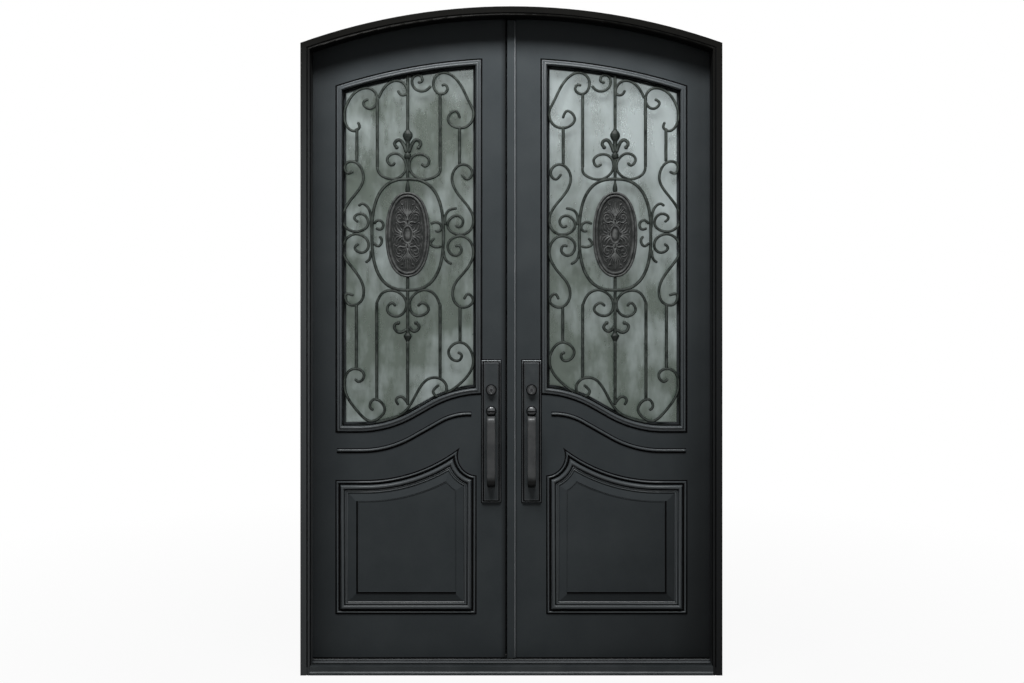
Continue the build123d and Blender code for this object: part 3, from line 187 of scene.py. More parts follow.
def share_along(tree, direction, start, end, first, last):
    """Goes from first to last between two places along a direction of the piece."""
    return ramp_node(tree, along(tree, direction), start, end, first, last)


def noise_node(tree, place, scale, detail, roughness=0.5):
    """Noise of a given number of waves to the metre on a place."""
    node = tree.nodes.new("ShaderNodeTexNoise")
    node.inputs["Detail"].default_value = detail
    node.inputs["Roughness"].default_value = roughness
    tree.links.new(place, node.inputs["Vector"])
    feed(tree, node.inputs["Scale"], scale)
    return node.outputs["Fac"]


def bump_node(tree, height, strength, depth):
    """A bump whose full height is a depth in metres."""
    node = tree.nodes.new("ShaderNodeBump")
    for label, value in (("Strength", strength), ("Distance", depth), ("Height", height)):
        feed(tree, node.inputs[label], value)
    return node.outputs[0]


def colour_mix(tree, share, first, second):
    """Mixes two colours by a share."""
    node = tree.nodes.new("ShaderNodeMix")
    node.data_type = "RGBA"
    tree.links.new(share, node.inputs["Factor"])
    for label, colour in (("A", first), ("B", second)):
        feed(tree, [s for s in node.inputs if s.name == label and s.type == "RGBA"][0], colour)
    return [s for s in node.outputs if s.type == "RGBA"][0]


sprayed, given, made = shader_group("sprayed_finish", [
    ("Colour", "NodeSocketColor", (0.03, 0.03, 0.03, 1)),
    ("Pale Colour", "NodeSocketColor", (0.04, 0.04, 0.04, 1)),
    ("Smooth", "NodeSocketFloat", 0.36),
    ("Rough", "NodeSocketFloat", 0.5),
    ("Peel Scale", "NodeSocketFloat", 420.0),
    ("Peel Height", "NodeSocketFloat", 0.2),
], [("Colour", "NodeSocketColor"), ("Roughness", "NodeSocketFloat"), ("Normal", "NodeSocketVector")])
tree = sprayed
place = own_place(tree)
cloud = noise_node(tree, place, 5.5, 5, 0.6)
speck = noise_node(tree, place, 260, 2)
tone = ramp_node(tree, maths(tree, "MULTIPLY_ADD", speck, 0.25, cloud), 0.42, 0.82, 0.0, 1.0)
peel = noise_node(tree, place, given.outputs["Peel Scale"], 2)
for label, source in (
    ("Colour", colour_mix(tree, tone, given.outputs["Colour"], given.outputs["Pale Colour"])),
    ("Roughness", ramp_node(tree, cloud, 0.3, 0.7, given.outputs["Smooth"], given.outputs["Rough"])),
    ("Normal", bump_node(tree, peel, given.outputs["Peel Height"], 0.0004)),
):
    tree.links.new(source, made.inputs[label])


def sprayed_paint(name, colour, pale, smooth, rough, peel_scale, peel_height, sheen_level):
    """A satin enamel: the sprayed finish on a plain shader with its own level of gloss."""
    material, tree, shader = new_material(name)
    shader.inputs["Specular IOR Level"].default_value = sheen_level
    finish = tree.nodes.new("ShaderNodeGroup")
    finish.node_tree = sprayed
    for socket, value in zip(finish.inputs, (colour, pale, smooth, rough, peel_scale, peel_height)):
        feed(tree, socket, value)
    for label, target in (("Colour", "Base Color"), ("Roughness", "Roughness"), ("Normal", "Normal")):
        tree.links.new(finish.outputs[label], shader.inputs[target])
    return material


def overlaid(material, share, colour):
    """Mixes a colour by a share over what the material's base colour already reads."""
    tree = material.node_tree
    base = tree.nodes["Principled BSDF"].inputs["Base Color"]
    tree.links.new(colour_mix(tree, share, base.links[0].from_socket, colour), base)


def dress(material, *names):
    """Gives CAD nodes a material in place of their own."""
    for name in names:
        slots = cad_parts[name].data.materials
        slots.clear()
        slots.append(material)


def pair(*names):
    """The left and right node of each name."""
    return [name + side for name in names for side in ("_left", "_right")]


# Near-black laid over the leaf enamel as painted shade.
painted_shade_colour = (0.003, 0.003, 0.003)
leaf_paint = sprayed_paint("charcoal_enamel", (0.0275, 0.032, 0.0345), (0.035, 0.040, 0.0425),
                           0.34, 0.46, 420, 0.16, 0.05)
tree = leaf_paint.node_tree
across = along(tree, (1, 0, 0))
# Painted shadow of the astragal, beside the meeting gap of the left leaf.
astragal_shadow_share = maths(tree, "MULTIPLY", ramp_node(tree, across, -0.040, -0.0230, 0.0, 0.7),
               maths(tree, "LESS_THAN", across, -0.0205))
# Painted shade over the outer stiles, beside the jambs.
outer = ramp_node(tree, maths(tree, "ABSOLUTE", across), 0.60, 0.71, 0.0, 0.40)
# Painted shade, darker towards the bottom and towards the right.
low = share_along(tree, (1, 0, -0.5), 0.05, 0.60, 0.0, 0.5)
for share in (astragal_shadow_share, outer, low):
    overlaid(leaf_paint, share, painted_shade_colour)
dress(leaf_paint, *pair("leaf", "meeting_channel", "glazing_moulding", "panel_moulding",
                        "raised_panel", "inner_panel"), "astragal")

# Frame: folded steel jambs and head, sprayed in the same batch but darker and warmer. The head is
# nearly black, as painted shade; down the jambs, and more so on the left one, the colour is painted
# paler as painted light.
frame_paint = sprayed_paint("black_bronze_enamel", (0.0016, 0.0016, 0.0013), (0.0023, 0.0022, 0.0018),
                            0.36, 0.46, 420, 0.16, 0.05)
tree = frame_paint.node_tree
# Painted light: the jambs paler on the left, darker on the right.
right_jamb_shade_share = share_along(tree, (1, 0, 0), -0.79, 0.79, 0.0, 1.0)
jamb_painted_light_colour = colour_mix(tree, right_jamb_shade_share, (0.042, 0.0445, 0.046), (0.0095, 0.0102, 0.0106))
# Painted shade: the frame darker towards the head.
head_shade_share = share_along(tree, (0, 0, 1), 1.35, 2.36, 0.0, 1.0)
tree.links.new(colour_mix(tree, head_shade_share, jamb_painted_light_colour, tree.nodes["Group"].outputs["Colour"]),
               tree.nodes["Principled BSDF"].inputs["Base Color"])
dress(frame_paint, "jamb_left", "jamb_right", "head")

# Inner sashes: the same enamel, brushed out by hand over the welded corners.
sash_paint = sprayed_paint("sash_enamel", (0.020, 0.023, 0.0245), (0.028, 0.031, 0.033),
                           0.34, 0.5, 260, 0.24, 0.05)
dress(sash_paint, *pair("sash_frame"))

# Sill: an aluminium tread that feet and weather have dulled, with fine lines along its length.
def stretched(tree, place, scale, turn=0):
    """A place scaled in X, Y and Z after a turn about Y in degrees."""
    node = tree.nodes.new("ShaderNodeMapping")
    node.inputs["Scale"].default_value = scale
    node.inputs["Rotation"].default_value = (0, math.radians(turn), 0)
    tree.links.new(place, node.inputs["Vector"])
    return node.outputs[0]


tread_metal, tree, shader = new_material("dulled_sill")
shader.inputs["Metallic"].default_value = 0.2
shader.inputs["Specular IOR Level"].default_value = 0.15
place = own_place(tree)
drawn = noise_node(tree, stretched(tree, place, (1, 60, 60)), 14, 3)
worn = noise_node(tree, place, 9, 5, 0.6)
tree.links.new(colour_mix(tree, ramp_node(tree, worn, 0.4, 0.7, 0.0, 1.0),
                          (0.021, 0.0245, 0.026), (0.034, 0.038, 0.040)), shader.inputs["Base Color"])
tree.links.new(ramp_node(tree, drawn, 0.3, 0.7, 0.34, 0.52), shader.inputs["Roughness"])
tree.links.new(bump_node(tree, drawn, 0.3, 0.0003), shader.inputs["Normal"])
dress(tread_metal, "sill")

# Weather seal, sweeps and meeting fins: extruded black rubber with a faint bloom.
rubber = sprayed_paint("black_rubber", (0.008, 0.008, 0.0085), (0.015, 0.015, 0.0155),
                       0.6, 0.78, 900, 0.3, 0.12)
dress(rubber, "frame_seal", *pair("leaf_seals"))

# Glass: cloudy hammered panes, grey-green, whose dents blur what is behind them. The clouding is
# uneven, like frost on a window, and the colour is painted paler towards the upper right as painted
# light.
glass, tree, shader = new_material("hammered_glass")
shader.inputs["Transmission Weight"].default_value = 0.82
shader.inputs["IOR"].default_value = 1.5
place = own_place(tree)
frost = noise_node(tree, place, 4.2, 4, 0.55)
veil = noise_node(tree, stretched(tree, place, (3.2, 1, 1), 38), 9, 5, 0.55)
clouding = maths(tree, "MULTIPLY_ADD", veil, 0.55, frost)
# Painted light: the glass paler towards the upper right.
upper_right_painted_light = share_along(tree, (0.8, 0, 1), 1.7, 2.5, 0.0, 0.42)
tone = ramp_node(tree, maths(tree, "ADD", clouding, upper_right_painted_light), 0.69, 1.16, 0.0, 1.0)
tree.links.new(colour_mix(tree, tone, (0.084, 0.108, 0.090), (0.36, 0.41, 0.41)),
               shader.inputs["Base Color"])
tree.links.new(ramp_node(tree, veil, 0.3, 0.7, 0.22, 0.42), shader.inputs["Roughness"])
dents = tree.nodes.new("ShaderNodeTexVoronoi")
dents.feature = "SMOOTH_F1"
dents.inputs["Scale"].default_value = 48
dents.inputs["Smoothness"].default_value = 0.8
tree.links.new(place, dents.inputs["Vector"])
grain = noise_node(tree, place, 240, 4)
relief = maths(tree, "MULTIPLY_ADD", grain, 0.3, dents.outputs["Distance"])
tree.links.new(bump_node(tree, relief, 0.20, 0.002), shader.inputs["Normal"])
dress(glass, *pair("glass"))

# Grilles: flat bar with rounded edges, bent hot into scrolls and welded to uprights and to a rim that
# fills the opening. The iron is greenish black, paler along the middle of its front: partly a rub,
# partly a painted highlight.
# The pattern counts from the ring's centre, in units of a fixed length across and up.
ring_x, ring_z = -0.3920, 1.6323
unit_across = 0.503 / 133.5
unit_up = 1.32807 / 352.4
bar_width = 0.012
scroll_width = 0.0105
bar_depth = 0.012
bar_stagger = 0.0004
grille_front = 0.0285
grille_middle = grille_front + bar_depth / 2
ring_half = (0.135, 0.210)
bar_power = 2.6
arch_centre_z = 0.15040
opening_left, opening_right = -0.638, -0.135
opening_low, opening_high = 0.911, 1.0545
opening_bends = (0.405, 0.420, -0.105)
opening_top_radius = 2.124
rising_slope = 29.5
rim_width = 0.005
scrolls = [
    [(-50, 113), (-48.5, 107.5), (-54, 104), (-61, 109), (-58.5, 135.5), (-48, 145.5), (-35.5, 145.5),
     (-31.5, 131), (-39.5, 126.5), (-44.5, 132), (-39.5, 136)],
    [(-29.5, 136.5), (-20.5, 150.5), (-11, 154.5), (-2, 149), (-1.5, 141), (-6, 140), (-10, 145)],
    [(10, 152.5), (14.5, 154), (12.5, 159.7), (6.5, 158.7), (5, 150), (10.5, 144.5), (18, 144.5),
     (23.5, 149.5)],
    [(34, 149), (37, 150.5), (40, 146.5), (33.5, 141), (26, 148.5), (29.5, 160), (36.5, 162.5),
     (47, 157.5), (62.5, 131.5), (66, 123.5), (62, 110.5), (47.5, 108), (40.5, 117), (48, 124),
     (52.5, 116.5)],
    [(-54.5, 63.5), (-60.5, 61.5), (-62.5, 70), (-55.5, 73.5), (-44.5, 60), (-59.5, 31.5), (-64.5, 11),
     (-53, 3), (-39.5, 11.5), (-48, 21), (-53.5, 17), (-49.5, 12.5)],
    [(-49, -9), (-53, -13), (-47, -18), (-40, -14), (-40, -6.5), (-50.5, 0.5), (-58.5, -1.5),
     (-65.5, -14.5), (-59, -28.5), (-44, -57.5), (-48.5, -68.5), (-60, -69), (-62, -60), (-54, -61)],
    [(54, 61), (60, 55.5), (64, 59), (64, 65), (55.5, 70.5), (45.5, 62), (46.5, 47.5), (66, 14.5),
     (63.5, 5.5), (51.5, 0), (40, 9), (42, 15), (49.5, 19), (55, 15.5), (55, 10.5), (51.5, 7.5),
     (48, 9.5)],
    [(47.5, -12), (51.5, -11), (54, -15.5), (47.5, -21), (41, -16), (41, -8), (51.5, -1.5),
     (59.5, -3.5), (66, -16.5), (53.5, -41.5), (48, -48.5), (46.5, -66), (56, -73), (65.5, -65),
     (60.5, -59.5), (56.5, -65)],
    [(-30.5, 68.5), (-29.5, 63.5), (-20.5, 56.5), (-9.5, 57), (-1.5, 67), (-6, 78.5), (-13, 81.5),
     (-20.5, 74.5), (-15.5, 69.5), (-12.5, 72.5)],
    [(32.5, 68.5), (32.5, 63.5), (23.5, 56.5), (11, 56.5), (2, 66), (5.5, 78.5), (18, 79),
     (21.5, 73.5), (18, 68.5), (13.5, 71)],
    [(-31, -68.5), (-24.5, -58), (-10, -57.5), (-1.5, -67.5), (-3.5, -77.5), (-12, -82),
     (-20.5, -74), (-15.5, -68.5), (-12, -72)],
    [(32.5, -71), (26, -59), (16.5, -55.5), (8.5, -58.5), (2, -68), (5, -79), (11, -81.5), (21, -74),
     (14.5, -68.5), (10, -72)],
    [(-34, 10.5), (-29, 14.5), (-24.5, 10.5), (-26.5, 5.5), (-32, 6.5)],
    [(-28.5, -1.5), (-26, -5.5), (-29, -11.5), (-34.5, -8)],
    [(23, 10.5), (29, 12.5), (34, 7.5), (31.5, 3.5), (27.5, 4)],
    [(27, -3.5), (23, -9.5), (29, -12.5), (34, -11.5)],
    [(-36.5, 6.5), (-37.5, 21.5), (-40.5, 28), (-46, 31), (-49.5, 28.5)],
    [(-37, -15.5), (-37.5, -22.5), (-39.5, -26), (-42.5, -28)],
    [(38, 9.5), (38, 19.5), (41, 24), (49.5, 26.5)],
    [(36, -15.5), (37, -22.5), (40.5, -27.5), (44.5, -29.5)],
    [(-53, -144.5), (-49, -147.5), (-44, -143), (-44.5, -138.5), (-52, -134.5), (-58.5, -136.5),
     (-63.5, -149.5), (-49.5, -178), (-37, -187), (-26, -181.5), (-23, -175), (-34.5, -165.5),
     (-37.5, -173.5), (-34, -176)],
    [(-32.5, -188.5), (-2.5, -177), (12, -154), (22.5, -144), (33.5, -145), (39, -153),
     (32.5, -163), (25.5, -157), (27.5, -154), (31.5, -150.5)],
    [(-0.5, -168.5), (-8, -162.5), (-11.5, -165), (-9, -171)],
    [(50, -118), (54, -120.5), (52.5, -125.5), (46.5, -126), (41, -117.5), (52, -108), (65.5, -123),
     (49.5, -152), (22.5, -168.5)],
]
uprights = [
    (-51, 107, 73), (-30.5, 139, 67), (0, 170, 103.5), (32.5, 142, 67), (52, 109, 70),
    (-51.5, -70, -135.5), (-31, -67, -167), (0, -106.5, -171), (32.5, -69, -145), (52.5, -72, -108),
    (0, 92, 55), (0, -40, -99.5),
]


def on_leaf(points):
    """Pattern points, which count from the ring's centre, as places across and up in metres."""
    points = np.asarray(points, float)
    return np.stack([ring_x + points[:, 0] * unit_across, ring_z + points[:, 1] * unit_up], axis=1)


def smooth_line(points, step):
    """The natural cubic spline through the points, with the chord as its parameter, at even steps
    of its own length."""
    chord = np.concatenate([[0], np.cumsum(np.linalg.norm(np.diff(points, axis=0), axis=1))])
    gap = np.diff(chord)
    slope = np.diff(points, axis=0) / gap[:, None]
    system = np.eye(len(points))
    inner = np.arange(1, len(points) - 1)
    system[inner, inner - 1] = gap[:-1]
    system[inner, inner] = 2 * (gap[:-1] + gap[1:])
    system[inner, inner + 1] = gap[1:]
    known = np.zeros_like(points)
    known[inner] = 6 * np.diff(slope, axis=0)
    bend = np.linalg.solve(system, known)
    t = np.linspace(0, chord[-1], 60 * len(points))
    i = np.clip(np.searchsorted(chord, t, side="right") - 1, 0, len(gap) - 1)
    before = (t - chord[i])[:, None]
    after = (chord[i + 1] - t)[:, None]
    h = gap[i][:, None]
    dense = (bend[i] * after**3 + bend[i + 1] * before**3) / (6 * h)
    dense += ((points[i] / h - bend[i] * h / 6) * after
              + (points[i + 1] / h - bend[i + 1] * h / 6) * before)
    return even_steps(dense, step)


def even_steps(line, step):
    """The same line with its points the same distance apart."""
    length = np.concatenate([[0], np.cumsum(np.linalg.norm(np.diff(line, axis=0), axis=1))])
    at = np.linspace(0, length[-1], max(3, int(round(length[-1] / step)) + 1))
    return np.stack([np.interp(at, length, line[:, k]) for k in range(line.shape[1])], axis=1)


def half_round(away):
    """The height of a half circle, root(1 - away squared), and nought from one on."""
    return np.sqrt(np.clip(1 - away**2, 0, 1))


def squared(wave, power):
    """A cosine or sine to the power 2/power with its sign kept, which squares up an oval."""
    return np.sign(wave) * np.abs(wave) ** (2 / power)


def once_round(count, start=0.0):
    """Even angles once round a circle."""
    return (np.arange(count) + start) * 2 * np.pi / count


def grid_surface(x, y, z, values=0.0, closed=False):
    """A grid of places across, back and up as points, four-cornered faces and a value per point.
    Each row closes on itself, and where closed is set the last row joins the first."""
    x, y, z, values = np.broadcast_arrays(x, y, z, values)
    lines, count = x.shape
    here = np.arange(lines if closed else lines - 1)[:, None] * count
    j = np.arange(count)
    ahead, beside = (here + count) % (lines * count), (j + 1) % count
    faces = np.stack([here + j, here + beside, ahead + beside, ahead + j], axis=2).reshape(-1, 4)
    return np.stack([x, y, z], axis=2).reshape(-1, 3), faces, values.reshape(-1)


def forged_bar(line, width, depth, middle, corners=16, closed=False, root=1.0, tip=1.0,
               power=bar_power):
    """A rounded oblong carried along a flat line. Its section is the superellipse with a given power,
    and its width and depth go from root to tip times their size; open ends close like a thumb's end.
    The value of each point is how near it is to the middle of the front, where the iron is painted
    paler: partly a rub, partly a painted highlight."""
    if closed:
        size = np.ones(len(line))
        ahead = np.roll(line, -1, axis=0) - np.roll(line, 1, axis=0)
    else:
        inset = width / 2 * (1 - np.cos(np.linspace(0, np.pi / 2, 5)))
        length = np.concatenate([[0], np.cumsum(np.linalg.norm(np.diff(line, axis=0), axis=1))])
        total, margin = length[-1], inset[-1] * 1.3
        inner = length[(length > margin) & (length < total - margin)]
        at = np.concatenate([inset, inner, (total - inset)[::-1]])
        line = np.stack([np.interp(at, length, line[:, k]) for k in range(2)], axis=1)
        from_end = np.clip(np.minimum(at, total - at) / (width / 2), 0, 1)
        size = half_round(1 - from_end) * (root + (tip - root) * at / total)
        ahead = np.gradient(line, axis=0)
    ahead /= np.linalg.norm(ahead, axis=1)[:, None]
    side = np.stack([-ahead[:, 1], ahead[:, 0]], axis=1)
    angle = once_round(corners, 0.5)
    across = squared(np.cos(angle), power) * width / 2
    back = squared(np.sin(angle), power) * depth / 2
    flat = line[:, None, :] + side[:, None, :] * (size[:, None] * across)[:, :, None]
    # Paler along the middle of the front: partly a rub, partly a painted highlight.
    front_rub_and_highlight = np.exp(-(across / (width * 0.28)) ** 2) * (back < 0)
    points, faces, rub_and_highlight = grid_surface(flat[:, :, 0], middle + size[:, None] * back, flat[:, :, 1],
                                      front_rub_and_highlight, closed)
    return points, faces[:, [0, 3, 2, 1]], rub_and_highlight


def gathered(parts):
    """Several closed pieces of points, faces and values as one set. Where a piece's volume comes out
    negative, its faces are turned so that they look outward."""
    points, faces, values, count = [], [], [], 0
    for part in parts:
        a, b, c, d = (part[0][part[1][:, k]] for k in range(4))
        volume = np.sum(a * np.cross(b, c)) + np.sum(a * np.cross(c, d))
        points.append(part[0])
        faces.append((part[1] if volume > 0 else part[1][:, ::-1]) + count)
        values.append(part[2])
        count += len(part[0])
    return np.concatenate(points), np.concatenate(faces), np.concatenate(values)


def add_surface(name, points, faces, values, material, body, crease):
    """Puts points and four-cornered faces into a mesh that rides on a body, with doubles merged and
    edges sharp where the faces turn by more than the crease, in degrees."""
    mesh = bpy.data.meshes.new(name)
    mesh.vertices.add(len(points))
    mesh.vertices.foreach_set("co", np.ascontiguousarray(points, np.float32).ravel())
    mesh.loops.add(faces.size)
    mesh.loops.foreach_set("vertex_index", faces.astype(np.int32).ravel())
    mesh.polygons.add(len(faces))
    mesh.polygons.foreach_set("loop_start", np.arange(0, faces.size, 4, dtype=np.int32))
    mesh.update(calc_edges=True)
    layer = mesh.attributes.new("rub_and_highlight", "FLOAT", "POINT")
    layer.data.foreach_set("value", np.ascontiguousarray(values, np.float32))
    work = bmesh.new()
    work.from_mesh(mesh)
    bmesh.ops.remove_doubles(work, verts=work.verts, dist=1e-7)
    bmesh.ops.dissolve_degenerate(work, edges=work.edges, dist=1e-7)
    work.to_mesh(mesh)
    work.free()
    mesh.polygons.foreach_set("use_smooth", np.ones(len(mesh.polygons), bool))
    mesh.set_sharp_from_angle(angle=math.radians(crease))
    mesh.materials.append(material)
    piece = placed(name, mesh)
    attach(piece, body)
    return piece


def both_sides(name, parts, material, replaced, crease=42):
    """Adds a piece made for the left leaf to it, and mirrored in the middle plane to the right leaf,
    in place of a CAD node where one is named."""
    points, faces, values = gathered(parts)
    for side in ("left", "right"):
        piece = add_surface(name + "_" + side, points, faces, values, material, side + "_leaf", crease)
        if replaced:
            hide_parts(replaced + "_" + side)
        points, faces = points * np.array([-1, 1, 1]), faces[:, ::-1]


def worn_iron(name, deep, pale, rub_and_highlight_colour, rub_and_highlight_share):
    """Waxed forged iron: hammer marks, a mottled skin, and a paler colour where each point's value asks
    for it: polish on raised crests, and along the fronts of bars and buds partly a painted highlight.
    """
    material, tree, shader = new_material(name)
    shader.inputs["Specular IOR Level"].default_value = 0.10
    place = own_place(tree)
    skin = noise_node(tree, place, 38, 5, 0.6)
    colour = colour_mix(tree, ramp_node(tree, skin, 0.35, 0.7, 0.0, 1.0), deep, pale)
    rub_and_highlight = tree.nodes.new("ShaderNodeAttribute")
    rub_and_highlight.attribute_name = "rub_and_highlight"
    patchy = maths(tree, "MULTIPLY", rub_and_highlight.outputs["Fac"],
                   ramp_node(tree, skin, 0.3, 0.65, 0.0, rub_and_highlight_share))
    tree.links.new(colour_mix(tree, patchy, colour, rub_and_highlight_colour), shader.inputs["Base Color"])
    tree.links.new(ramp_node(tree, skin, 0.3, 0.7, 0.34, 0.56), shader.inputs["Roughness"])
    marks = tree.nodes.new("ShaderNodeTexVoronoi")
    marks.feature = "SMOOTH_F1"
    marks.inputs["Scale"].default_value = 130
    tree.links.new(place, marks.inputs["Vector"])
    tree.links.new(bump_node(tree, marks.outputs["Distance"], 0.35, 0.0008), shader.inputs["Normal"])
    return material


def arc(centre, radius, start, end, count):
    """Points on an arc about a centre between two angles in degrees."""
    a = np.radians(np.linspace(start, end, count))
    return np.stack([centre[0] + radius * np.cos(a), centre[1] + radius * np.sin(a)], axis=1)


def rising_line(left, right, low, high, low_bend, high_bend, crest_x, grow):
    """A level line that swings up through two arcs to its crest, moved down by an amount."""
    slope = math.radians(rising_slope)
    bends = low_bend + high_bend
    straight = (high - low - bends * (1 - math.cos(slope))) / math.sin(slope)
    crest = (crest_x, high - high_bend)
    foot = (crest[0] - bends * math.sin(slope) - straight * math.cos(slope), low + low_bend)
    end = math.degrees(math.acos((right - crest[0]) / (high_bend - grow)))
    return np.concatenate([
        [(left, low - grow)],
        arc(foot, low_bend + grow, -90, rising_slope - 90, 14),
        arc(crest, high_bend - grow, rising_slope + 90, end, 14),
    ])


def opening_line(grow):
    """The opening's closed outline, grown by an amount: the rising foot, the right side, the arched
    top and the left side."""
    left, right = opening_left - grow, opening_right + grow
    top = opening_top_radius + grow
    start, end = (math.degrees(math.acos(x / top)) for x in (right, left))
    return np.concatenate([
        rising_line(left, right, opening_low, opening_high, *opening_bends, grow),
        arc((0, arch_centre_z), top, start, end, 30),
    ])


def grille_parts():
    """Every bar of the left grille: scrolls, uprights, ring and rim."""
    parts = [forged_bar(smooth_line(on_leaf(p), 0.005), scroll_width, bar_depth * 0.96, grille_middle)
             for p in scrolls]
    for across, top, bottom in uprights:
        line = even_steps(on_leaf([(across, top), (across, bottom)]), 0.03)
        parts.append(forged_bar(line, bar_width, bar_depth, grille_middle + bar_stagger))
    a = once_round(720)
    ring = even_steps(np.stack([ring_x + ring_half[0] * squared(np.cos(a), bar_power),
                                ring_z + ring_half[1] * squared(np.sin(a), bar_power)], axis=1), 0.006)
    parts.append(forged_bar(ring[:-1], bar_width, bar_depth, grille_middle - bar_stagger, closed=True))
    rim = opening_line(-rim_width / 2)
    parts.append(forged_bar(rim, rim_width, bar_depth, grille_middle, corners=8, closed=True))
    return parts


grille_iron = worn_iron("greenish_black_iron", (0.0040, 0.0060, 0.0050), (0.0080, 0.0110, 0.0095),
                        (0.062, 0.072, 0.065), 0.85)
both_sides("scrollwork", grille_parts(), grille_iron, "grille", 180)

# Medallions: cast ovals with a double rounded border, an oval boss and leaf scrolls in low relief
# around it. The casting is browner than the bars, with dark wax left in its hollows.
medallion_half = (0.0840, 0.161)
border_width = 0.021
# Each ridge of the border: how far its middle is inset, its half width and its height
border_ridges = [(0.0046, 0.0046, 0.0052), (0.0150, 0.0050, 0.0046)]
field_depth = grille_front + 0.001
room_x, room_z = (half - border_width for half in medallion_half)
oval_power = 2.25
medallion_turns, border_rows, field_rows = 260, 30, 104
dome_height, stroke_relief, vein_height = 0.0014, 0.0040, 0.0006
full_stroke = 0.0036
boss_half = (0.0185, 0.0330)
boss_ring_width, boss_ring_height = 0.16, 0.0030
boss_heart_size, boss_heart_height = 0.66, 0.0034
# Carved strokes in the upper right quarter, as shares of the field: points, then widths in metres
strokes = [
    ([(0.06, 0.27), (0.2, 0.34), (0.42, 0.32), (0.62, 0.38), (0.66, 0.47), (0.52, 0.53), (0.38, 0.49),
      (0.4, 0.43), (0.48, 0.43)], 0.0032, 0.0018),
    ([(0.05, 0.29), (0.12, 0.42), (0.2, 0.52), (0.3, 0.56), (0.36, 0.53)], 0.0030, 0.0016),
    ([(0.3, 0.58), (0.5, 0.6), (0.66, 0.56), (0.74, 0.46), (0.72, 0.36)], 0.0024, 0.0014),
    ([(0, 0.4), (0, 0.55), (0, 0.72), (0, 0.93)], 0.0045, 0.0016),
    ([(0.03, 0.5), (0.1, 0.66), (0.13, 0.78), (0.11, 0.9)], 0.0036, 0.0014),
    ([(0.06, 0.52), (0.18, 0.64), (0.26, 0.74), (0.27, 0.85)], 0.0036, 0.0014),
    ([(0.12, 0.55), (0.28, 0.63), (0.39, 0.7), (0.44, 0.79)], 0.0032, 0.0012),
    ([(0.36, 0.62), (0.48, 0.66), (0.57, 0.7)], 0.0028, 0.0012),
    ([(0.36, 0.06), (0.5, 0.1), (0.62, 0.17), (0.66, 0.26)], 0.0040, 0.0016),
    ([(0.4, 0.03), (0.56, 0.05), (0.72, 0.1), (0.8, 0.19)], 0.0036, 0.0014),
    ([(0.34, 0.12), (0.44, 0.18), (0.5, 0.25)], 0.0032, 0.0014),
    ([(0.42, 0.0), (0.62, 0.0), (0.78, 0.0), (0.9, 0.02)], 0.0032, 0.0012),
    ([(0.8, 0.26), (0.84, 0.36), (0.82, 0.45)], 0.0024, 0.0012),
    ([(0.30, 0.80), (0.41, 0.84), (0.40, 0.90), (0.30, 0.90)], 0.0024, 0.0014),
    ([(0.52, 0.74), (0.63, 0.69), (0.71, 0.61), (0.70, 0.54)], 0.0024, 0.0014),
    ([(0.86, 0.06), (0.90, 0.15), (0.87, 0.24)], 0.0024, 0.0014),
    ([(0.12, 0.28), (0.26, 0.24), (0.34, 0.28)], 0.0024, 0.0014),
    ([(0.70, 0.31), (0.60, 0.30), (0.52, 0.25)], 0.0024, 0.0014),
    ([(0.20, 0.40), (0.27, 0.44), (0.28, 0.50)], 0.0022, 0.0014),
    ([(0.50, 0.44), (0.54, 0.41), (0.52, 0.38)], 0.0022, 0.0018),
]


def stroke_height(x, z):
    """The carved leaf strokes: each is the round ridge root(1 - (distance / width) squared) about its
    own smooth line, with the highest of them taken, in all four quarters."""
    height = np.zeros_like(x)
    for line, first, last in strokes:
        path = smooth_line(np.array(line) * (room_x, room_z), 0.0012)
        width = np.linspace(first, last, len(path))
        for across, up in ((-1, -1), (-1, 1), (1, -1), (1, 1)):
            away = np.hypot(x[..., None] - across * path[:, 0], z[..., None] - up * path[:, 1])
            ridge = half_round(away / width) * width / full_stroke
            height = np.maximum(height, ridge.max(axis=-1))
    return height


